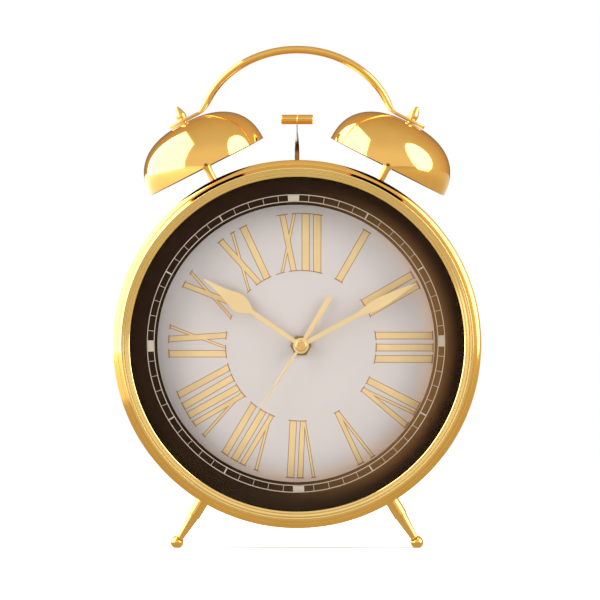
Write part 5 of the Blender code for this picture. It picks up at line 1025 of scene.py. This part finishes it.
def handle_section(place, tangent, half_width, half_thickness):
    """Return a section of the handle, square to its path in the XZ plane."""
    normal = Vector((-tangent.z, 0, tangent.x))
    blunt = max(0.35, half_thickness / half_width)
    points = []
    for step in range(28):
        angle = 2 * pi * (step + 0.5) / 28
        across = copysign(abs(cos(angle)) ** blunt, cos(angle))
        up = copysign(abs(sin(angle)) ** blunt, sin(angle))
        points.append(place + normal * (up * half_thickness) + Vector((0, across * half_width, 0)))
    return points


def handle_path(sizes):
    """Return the right half of the handle's path: place, half width and half thickness, tab end first."""
    outward = Vector((cos(BELL_ANGLE), 0, -sin(BELL_ANGLE)))
    seat = Vector((sin(BELL_ANGLE), 0, cos(BELL_ANGLE))) * sizes.tab_distance
    wide, thin, tab_end, tab_start = sizes.tab_width / 2, sizes.tab_thickness / 2, 0.0083, 0.009
    roundness, arch_inset, arch_drop, start_angle = 2.6, 0.00886, 0.00703, radians(24)
    path = []
    for step in range(9):
        share = cos(radians(8 + 82 * step / 8))
        width = (1 - share ** roundness) ** (1 / roundness)
        path.append((seat + outward * (share * tab_end), width * wide, thin))
    for step in range(1, 5):
        path.append((seat - outward * (tab_start * step / 4), wide, thin))
    half_span = sizes.tab_distance * sin(BELL_ANGLE) - arch_inset
    centre = Vector((0, 0, sizes.tab_distance * cos(BELL_ANGLE) - arch_drop))
    rise = HANDLE_TOP - AXIS_HEIGHT - centre.z - sizes.rod
    first = centre + Vector((half_span * cos(start_angle), 0, rise * sin(start_angle)))
    leave = seat - outward * tab_start
    span = (first - leave).length
    arrive = Vector((-half_span * sin(start_angle), 0, rise * cos(start_angle))).normalized() * span
    for step in range(1, 16):
        along = step / 16
        square = along * along
        cube = square * along
        place = (leave * (2 * cube - 3 * square + 1) - outward * span * (cube - 2 * square + along)
                 + first * (3 * square - 2 * cube) + arrive * (cube - square))
        blend = square * (3 - 2 * along)
        path.append((place, wide + (sizes.rod - wide) * blend, thin + (sizes.rod - thin) * blend))
    for step in range(33):
        angle = start_angle + (pi / 2 - start_angle) * step / 32
        place = centre + Vector((half_span * cos(angle), 0, rise * sin(angle)))
        path.append((place, sizes.rod, sizes.rod))
    return path


def make_handle(sizes):
    """Make the handle, one flat strip swept from tab to tab."""
    half = handle_path(sizes)
    path = half + [(Vector((-place.x, 0, place.z)), width, thin) for place, width, thin in half[-2::-1]]
    sections = []
    for index, (place, width, thin) in enumerate(path):
        before = path[max(index - 1, 0)][0]
        after = path[min(index + 1, len(path) - 1)][0]
        sections.append(handle_section(place, (after - before).normalized(), width, thin))
    make_piece("carrying_handle", swept(sections), bell_frame(0), ["polished_gold"],
               "handle", sharp=60, even=False)


# Hammer and legs

def make_hammer(sizes):
    """Make the hammer's stem, a strip with a quarter twist, and its head."""
    pivot = at(0, BELL_PLANE, AXIS_HEIGHT + HAMMER_PIVOT)
    half_width, half_sheet, bottom, top = 0.00125, 0.0004, 0.008, 0.0468
    twist_start, twist_length, warm_top = 0.026, 0.016, 0.0365
    sections = []
    for step in range(41):
        height = bottom + (top - bottom) * step / 40
        along = min(1.0, max(0.0, (height - twist_start) / twist_length))
        turn = Matrix.Rotation(along * pi / 2, 3, "Z")
        outline = rounded(-half_width, half_width, -half_sheet, half_sheet, 0.00015, 2)
        sections.append([turn @ Vector((x, y, 0)) + Vector((0, 0, height)) for x, y in outline])
    foot = box((-half_width, -half_sheet, -0.012), (half_width, half_sheet, bottom + 0.0005))
    eye = rod(0.003, (0, -half_sheet, 0), (0, half_sheet, 0), 40)
    armature = soften(box((-0.003, -0.003, -0.019), (0.003, 0.003, -0.011)), 0.0003)
    stem = joined(swept(sections), foot, eye, armature)
    for face in stem.faces:
        face.material_index = int(bottom < face.calc_center_median().z < warm_top)
    make_piece("hammer_strip", stem, pivot, ["steel", "warm_steel"], "hammer_stem", "hammer")

    half, radius, waist = sizes.head_length / 2, sizes.head_radius, sizes.head_radius - 0.00012
    end = HEAD_END + ((radius, 0.0004),)
    head = turned([(0, -half)] + [(reach, rise - half) for reach, rise in end]
                  + [(radius, -0.0003), (waist, -0.00015), (waist, 0.00015), (radius, 0.0003)]
                  + [(reach, half - rise) for reach, rise in end[::-1]] + [(0, half)], 48)
    place = pivot @ at(0, 0, HEAD_RISE) @ Matrix.Rotation(pi / 2, 4, "Y")
    make_piece("hammer_head_barrel", head, place, ["polished_gold"], "hammer_head",
               "hammer")


def leg_outline():
    """Return the half section of a leg: stud, collared barrel, taper, neck and ball."""
    stud, barrel, ball = 0.0016, 0.0037, 0.0034
    stud_end, collar = SHOULDER - 0.0065, SHOULDER + 0.0105
    points = [(0, stud_end), (stud, stud_end), (stud, SHOULDER), (barrel, SHOULDER), (barrel, collar),
              (barrel - 0.0001, collar + 0.0002), (barrel - 0.0004, collar + 0.0004),
              (0.0020, BALL - ball)]
    return points + arc((0, BALL), ball, -54, 90, 20)[:-1] + [(0, BALL + ball)]


def make_legs():
    """Make the four ball-footed legs, cut flat at the ground."""
    for side_name, side in SIDES.items():
        angle = pi - side * LEG_ANGLE
        to_leg = Matrix.Rotation(-angle, 4, "Y")
        for end_name, plane in LEG_PLANES.items():
            leg = soften(turned(leg_outline(), 48), 0.0001, 2, 40)
            ground = bmesh.ops.bisect_plane(leg, geom=leg.verts[:] + leg.edges[:] + leg.faces[:],
                                            dist=MERGE_DISTANCE, clear_outer=True,
                                            plane_co=to_leg @ Vector((0, 0, -AXIS_HEIGHT)),
                                            plane_no=to_leg @ Vector((0, 0, -1)))
            rim = [part for part in ground["geom_cut"] if isinstance(part, bmesh.types.BMEdge)]
            bmesh.ops.edgenet_fill(leg, edges=rim)
            place = at(0, plane, AXIS_HEIGHT) @ Matrix.Rotation(angle, 4, "Y")
            name = f"leg_{end_name}_{side_name}"
            make_piece(f"{name}_turned", leg, place, ["polished_gold"], name)


# Back fittings

def make_knobs():
    """Make the two knurled setting knobs."""
    front, rear = KNOB
    face_front = rear - 0.0004
    for name, middle, radius, count in (("time", TIME_KNOB, 0.008, 60), ("alarm", ALARM_KNOB, 0.0062, 48)):
        knob = turned([(0, front), (0.0036, front), (0.0036, front + 0.0012), (0.0038, front + 0.0014),
                       (radius - 0.0004, front + 0.0014), (radius, front + 0.0018), (radius, rear - 0.0006),
                       (radius - 0.0002, rear - 0.0002), (radius - 0.0006, rear), (radius - 0.0014, rear),
                       (radius - 0.0018, face_front), (0, face_front)], count)
        knob.normal_update()
        sides = [face for face in knob.faces
                 if abs(face.normal.z) < 0.1 and face.calc_center_median().xy.length > radius * 0.98]
        bmesh.ops.inset_individual(knob, faces=sides, thickness=radius * 0.012, depth=-0.0003,
                                   use_even_offset=True)
        place = DIAL_FRAME @ at(middle.x, AXIS_HEIGHT - middle.z)
        make_piece(f"{name}_knob", knob, place, ["black_plastic"], f"{name}_set_knob",
                   f"{name}_setting", sharp=30)


def make_switch():
    """Make the alarm switch with its ridged thumb piece."""
    front, rear = THUMB
    thumb = soften(sheet(rounded(-0.0035, 0.0035, -0.0025, 0.0025, 0.0008), front, rear), 0.0003, 2, 60)
    for number in range(-2, 3):
        middle = number * 0.0012
        joined(thumb, box((middle - 0.0003, -0.0018, rear - 0.0002), (middle + 0.0003, 0.0018, rear)))
    joined(thumb, box((-0.0015, -0.0012, front - 0.0023), (0.0015, 0.0012, front + 0.0003)),
           box((-0.006, -0.0035, front - 0.0028), (0.006, 0.0035, front - 0.0018)))
    make_piece("switch_slider", thumb, DIAL_FRAME @ at(0, -SWITCH_RISE),
               ["black_plastic"], "alarm_switch", "switch")


def make_battery():
    """Make the battery and its ribbed cover."""
    left, right, top, bottom = cover_sides()
    front, rear, middle = COVER_LOW.y - FRONT, COVER_HIGH.y - FRONT, (left + right) / 2
    relief_foot, rib_reach, rib_width, ribs = rear - 0.0006, 0.005, 0.0008, 7
    cover = sheet(rounded(left, right, top, bottom, 0.0006, 3), front, rear - 0.0004)
    soften(cover, 0.00015, 2, 60)
    for number in range(ribs):
        down = top + 0.010 + number * 2 * rib_width
        rib = box((middle - rib_reach, down, relief_foot), (middle + rib_reach, down + rib_width, rear))
        joined(cover, soften(rib, 0.00018))
    arrow = [(middle + 0.0024, 0.006), (middle - 0.0026, 0.009), (middle + 0.0024, 0.012)]
    joined(cover, soften(sheet(arrow, relief_foot, rear), 0.0001, 1, 60))
    make_piece("battery_lid", cover, DIAL_FRAME, ["black_plastic"], "battery_cover",
               "battery_door")

    size = BATTERY_HIGH - BATTERY_LOW
    radius, length, seam = size.x / 2, size.z, 0.036
    cell = turned([(0, 0), (0.0045, 0), (0.0048, 0.0004), (radius - 0.0006, 0.0004), (radius, 0.001),
                   (radius, seam), (radius, length - 0.0025), (radius - 0.0006, length - 0.0019),
                   (0.0032, length - 0.0017), (0.0028, length - 0.0015), (0.0027, length - 0.0002),
                   (0.0025, length), (0, length)], 64)
    for face in cell.faces:
        face.material_index = int(face.calc_center_median().z > seam)
    place = Matrix.Translation(BATTERY_LOW + Vector((size.x / 2, size.y / 2, 0)))
    make_piece("dry_cell", cell, place, ["sleeve", "sleeve_end"], "battery")


# Finishes of the inner pieces, whose CAD shapes stay
CARRIED_FINISHES = {
    "white_plastic": ("movement_front_plate", "movement_rear_shell", "minute_tube", "motion_wheel",
                      "hour_wheel", "alarm_wheel", "time_set_shaft", "alarm_set_shaft",
                      "intermediate_wheel"),
    "steel": ("post_nut_left", "post_nut_right", "hammer_pivot_pin", "hammer_bracket", "hammer_core",
              "movement_middle_plate", "motor_stator", "battery_plate_contact", "battery_leaf_contact"),
    "brass": ("second_arbor", "third_wheel", "centre_wheel"),
    "copper": ("motor_coil", "hammer_coil"),
    "board": ("circuit_board",),
    "black_plastic": ("battery_tray",),
    "magnet": ("rotor",),
}


def dress_movement():
    """Give the CAD's own pieces their finishes."""
    for name, nodes in CARRIED_FINISHES.items():
        for node in nodes:
            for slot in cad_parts[node].material_slots:
                slot.material = finish(name)


# Stage

WORLD_TONES = ((0.0, (0.92, 0.88, 0.8)), (0.3, (0.9, 0.85, 0.74)), (0.5, (0.84, 0.78, 0.62)),
               (0.68, (0.78, 0.67, 0.44)), (0.85, (0.7, 0.5, 0.23)), (0.95, (0.5, 0.31, 0.12)),
               (1.0, (0.22, 0.13, 0.06)))
SENSOR_WIDTH = 36.0


def lamp(name, place, target, width, height, radiance, shape):
    """Add a soft lamp of a given radiance that faces a place."""
    light = bpy.data.lights.new(name, "AREA")
    light.shape = shape
    light.size = width
    light.size_y = height
    area = width * height * (1 if shape == "RECTANGLE" else pi / 4)
    light.energy = radiance * pi * area
    made = added(name, light)
    made.location = place
    made.rotation_euler = (Vector(target) - Vector(place)).to_track_quat("-Z", "Y").to_euler()


def make_floor(size):
    """Make a white floor that polished metal sees dimmer and warmer near the clock."""
    body = bmesh.new()
    bmesh.ops.create_grid(body, x_segments=4, y_segments=4, size=size / 2)
    floor = added("floor", meshed("floor", body))
    look = bpy.data.materials.new("floor_finish")
    floor.data.materials.append(look)
    nodes = Nodes(look)
    nodes.tree.nodes.remove(nodes.tree.nodes["Principled BSDF"])
    away = nodes.add("VectorMath", {0: nodes.place()}, "Value", operation="LENGTH")
    across, deep = (nodes.add("SeparateXYZ", {0: nodes.place()}, axis) for axis in "XY")
    matt = nodes.add("BsdfDiffuse", {"Color": (0.9, 0.9, 0.9)})
    seen = nodes.math("MULTIPLY", nodes.ray("Camera"), nodes.spread(away, 0.2, 0.7, 0.3, 1.0))
    lit = nodes.add("AddShader", {0: matt, 1: nodes.add("Emission", {"Strength": seen})})
    level = nodes.spread(away, 0.15, 1.5, 0.58, 0.88)
    for source, ends in ((across, (0.1, 1.2, 1.0, 0.9)), (deep, (-2.6, -0.4, 0.78, 1.0))):
        level = nodes.math("MULTIPLY", level, nodes.spread(source, *ends))
    tint = nodes.mixed(nodes.spread(across, -0.31, -0.36), (1.0, 0.87, 0.6), (2.0, 1.9, 1.7))
    nodes.chosen(nodes.ray("Glossy"), lit, nodes.add("Emission", {"Color": tint, "Strength": level}))


def make_world(ambient):
    """Make white surroundings that polished metal sees with a softer front, top and back."""
    world = bpy.data.worlds.new("studio")
    bpy.context.scene.world = world
    nodes = Nodes(world)
    around = nodes.add("TexCoord", {}, "Generated")
    back, up = (nodes.add("SeparateXYZ", {0: around}, axis) for axis in "YZ")
    above = nodes.spread(up, 0.3, 0.9, 1.0, 0.82, "SMOOTHSTEP")
    lens = nodes.spread(back, -0.9995, -0.996, 0.12, 1.0, "SMOOTHSTEP")
    tones = nodes.toned(nodes.spread(back, -1.0, 1.0), *WORLD_TONES)
    shaded = nodes.add("VectorMath", {0: tones, "Scale": nodes.math("MULTIPLY", above, lens)},
                       operation="SCALE")
    tint = nodes.mixed(nodes.ray("Glossy"), (1, 1, 1), shaded)
    direct = nodes.math("MAXIMUM", nodes.ray("Camera"), nodes.ray("Glossy"))
    direct = nodes.math("MAXIMUM", direct, nodes.ray("Transmission"))
    nodes.fill(nodes.tree.nodes["Background"],
               {"Color": tint, "Strength": nodes.spread(direct, 0.0, 1.0, ambient, 1.0)})


def make_stage(stage):
    """Make the camera, the world and the lights."""
    camera = bpy.data.cameras.new("camera")
    camera.sensor_width = SENSOR_WIDTH
    camera.lens = SENSOR_WIDTH * stage.camera_distance / stage.view_width
    camera.clip_end = 100.0
    holder = added("camera", camera)
    holder.location = (stage.camera_right, FRONT - stage.camera_distance, stage.camera_height)
    holder.rotation_euler = (pi / 2, 0, 0)
    bpy.context.scene.camera = holder
    bpy.context.scene.view_settings.view_transform = "Standard"
    make_floor(stage.floor_size)
    make_world(stage.ambient)
    lamp("left_softbox", (-1.7, 0.0, 1.6), (-1, 0, 1.6), 3.9, 3.15, stage.key, "RECTANGLE")
    lamp("right_softbox", (1.65, -0.6, 0.85), (0, 0, 0.13), 1.7, 2.1, stage.fill, "ELLIPSE")


# Operators

class CLOCK_OT_stage(Operator):
    """Set the camera, the floor and the lamps"""
    bl_idname = "desk_clock.stage"
    bl_label = "Stage"
    bl_options = {"REGISTER", "UNDO"}

    def execute(self, context):
        make_stage(settings().stage)
        return {"FINISHED"}


class CLOCK_OT_case(Operator):
    """Make the bezel and the drum"""
    bl_idname = "desk_clock.case"
    bl_label = "Bezel and drum"
    bl_options = {"REGISTER", "UNDO"}

    def execute(self, context):
        make_case(settings().case)
        return {"FINISHED"}


class CLOCK_OT_back(Operator):
    """Make the back cover and its screws"""
    bl_idname = "desk_clock.back"
    bl_label = "Back cover"
    bl_options = {"REGISTER", "UNDO"}

    def execute(self, context):
        make_back(settings().case)
        return {"FINISHED"}


class CLOCK_OT_dial_stack(Operator):
    """Make the glass, the dark ring, the spacer and the dial"""
    bl_idname = "desk_clock.dial_stack"
    bl_label = "Glass and dial"
    bl_options = {"REGISTER", "UNDO"}

    def execute(self, context):
        make_dial_stack(settings().dial, settings().case.sides)
        return {"FINISHED"}


class CLOCK_OT_track(Operator):
    """Print the minute track on the dark ring"""
    bl_idname = "desk_clock.track"
    bl_label = "Minute track"
    bl_options = {"REGISTER", "UNDO"}

    def execute(self, context):
        make_track(settings().dial)
        return {"FINISHED"}


class CLOCK_OT_numerals(Operator):
    """Print the numerals on the dial"""
    bl_idname = "desk_clock.numerals"
    bl_label = "Numerals"
    bl_options = {"REGISTER", "UNDO"}

    def execute(self, context):
        make_numerals(settings().dial)
        return {"FINISHED"}


class CLOCK_OT_hands(Operator):
    """Make the four hands and the dial nut"""
    bl_idname = "desk_clock.hands"
    bl_label = "Hands and hub"
    bl_options = {"REGISTER", "UNDO"}

    def execute(self, context):
        make_hands(settings().hands)
        make_hub()
        return {"FINISHED"}


class CLOCK_OT_bells(Operator):
    """Make the two bells"""
    bl_idname = "desk_clock.bells"
    bl_label = "Bells"
    bl_options = {"REGISTER", "UNDO"}

    def execute(self, context):
        make_bells(settings().bells)
        return {"FINISHED"}


class CLOCK_OT_posts(Operator):
    """Make the bell posts and the finials"""
    bl_idname = "desk_clock.posts"
    bl_label = "Posts and finials"
    bl_options = {"REGISTER", "UNDO"}

    def execute(self, context):
        make_posts(settings().bells)
        return {"FINISHED"}


class CLOCK_OT_handle(Operator):
    """Make the carrying handle"""
    bl_idname = "desk_clock.handle"
    bl_label = "Handle"
    bl_options = {"REGISTER", "UNDO"}

    def execute(self, context):
        make_handle(settings().bells)
        return {"FINISHED"}


class CLOCK_OT_hammer(Operator):
    """Make the hammer's head and stem"""
    bl_idname = "desk_clock.hammer"
    bl_label = "Hammer"
    bl_options = {"REGISTER", "UNDO"}

    def execute(self, context):
        make_hammer(settings().bells)
        return {"FINISHED"}


class CLOCK_OT_legs(Operator):
    """Make the four legs"""
    bl_idname = "desk_clock.legs"
    bl_label = "Legs"
    bl_options = {"REGISTER", "UNDO"}

    def execute(self, context):
        make_legs()
        return {"FINISHED"}


class CLOCK_OT_knobs(Operator):
    """Make the setting knobs and the alarm switch"""
    bl_idname = "desk_clock.knobs"
    bl_label = "Knobs and switch"
    bl_options = {"REGISTER", "UNDO"}

    def execute(self, context):
        make_knobs()
        make_switch()
        return {"FINISHED"}


class CLOCK_OT_battery(Operator):
    """Make the battery and its cover"""
    bl_idname = "desk_clock.battery"
    bl_label = "Battery and cover"
    bl_options = {"REGISTER", "UNDO"}

    def execute(self, context):
        make_battery()
        return {"FINISHED"}


class CLOCK_OT_movement(Operator):
    """Give the movement and the hammer drive their finishes"""
    bl_idname = "desk_clock.movement"
    bl_label = "Movement finishes"
    bl_options = {"REGISTER", "UNDO"}

    def execute(self, context):
        dress_movement()
        return {"FINISHED"}


OPERATORS = (CLOCK_OT_stage, CLOCK_OT_case, CLOCK_OT_back, CLOCK_OT_dial_stack, CLOCK_OT_track,
             CLOCK_OT_numerals, CLOCK_OT_hands, CLOCK_OT_bells, CLOCK_OT_posts, CLOCK_OT_handle,
             CLOCK_OT_hammer, CLOCK_OT_legs, CLOCK_OT_knobs, CLOCK_OT_battery, CLOCK_OT_movement)
SETTINGS = (CaseSizes, DialSizes, HandSizes, BellSizes, FinishColours, StageSettings, ClockSettings)


class CLOCK_PT_pieces(Panel):
    """List the clock's pieces"""
    bl_idname = "CLOCK_PT_pieces"
    bl_label = "Desk clock"
    bl_space_type = "VIEW_3D"
    bl_region_type = "UI"
    bl_category = "Clock"

    def draw(self, context):
        column = self.layout.column(align=True)
        for operator in OPERATORS:
            column.operator(operator.bl_idname)
        for group in ("case", "dial", "hands", "bells", "colours", "stage"):
            values = getattr(context.scene.desk_clock, group)
            box = self.layout.box()
            box.label(text=group.capitalize())
            for name in values.bl_rna.properties.keys():
                if name not in ("rna_type", "name"):
                    box.prop(values, name)


def register():
    for group in SETTINGS:
        bpy.utils.register_class(group)
    bpy.types.Scene.desk_clock = PointerProperty(type=ClockSettings)
    for operator in OPERATORS:
        bpy.utils.register_class(operator)
    bpy.utils.register_class(CLOCK_PT_pieces)


def unregister():
    bpy.utils.unregister_class(CLOCK_PT_pieces)
    for operator in reversed(OPERATORS):
        bpy.utils.unregister_class(operator)
    del bpy.types.Scene.desk_clock
    for group in reversed(SETTINGS):
        bpy.utils.unregister_class(group)


def main():
    register()
    for operator in OPERATORS:
        getattr(bpy.ops.desk_clock, operator.bl_idname.split(".")[1])()


if __name__ == "__main__":
    main()
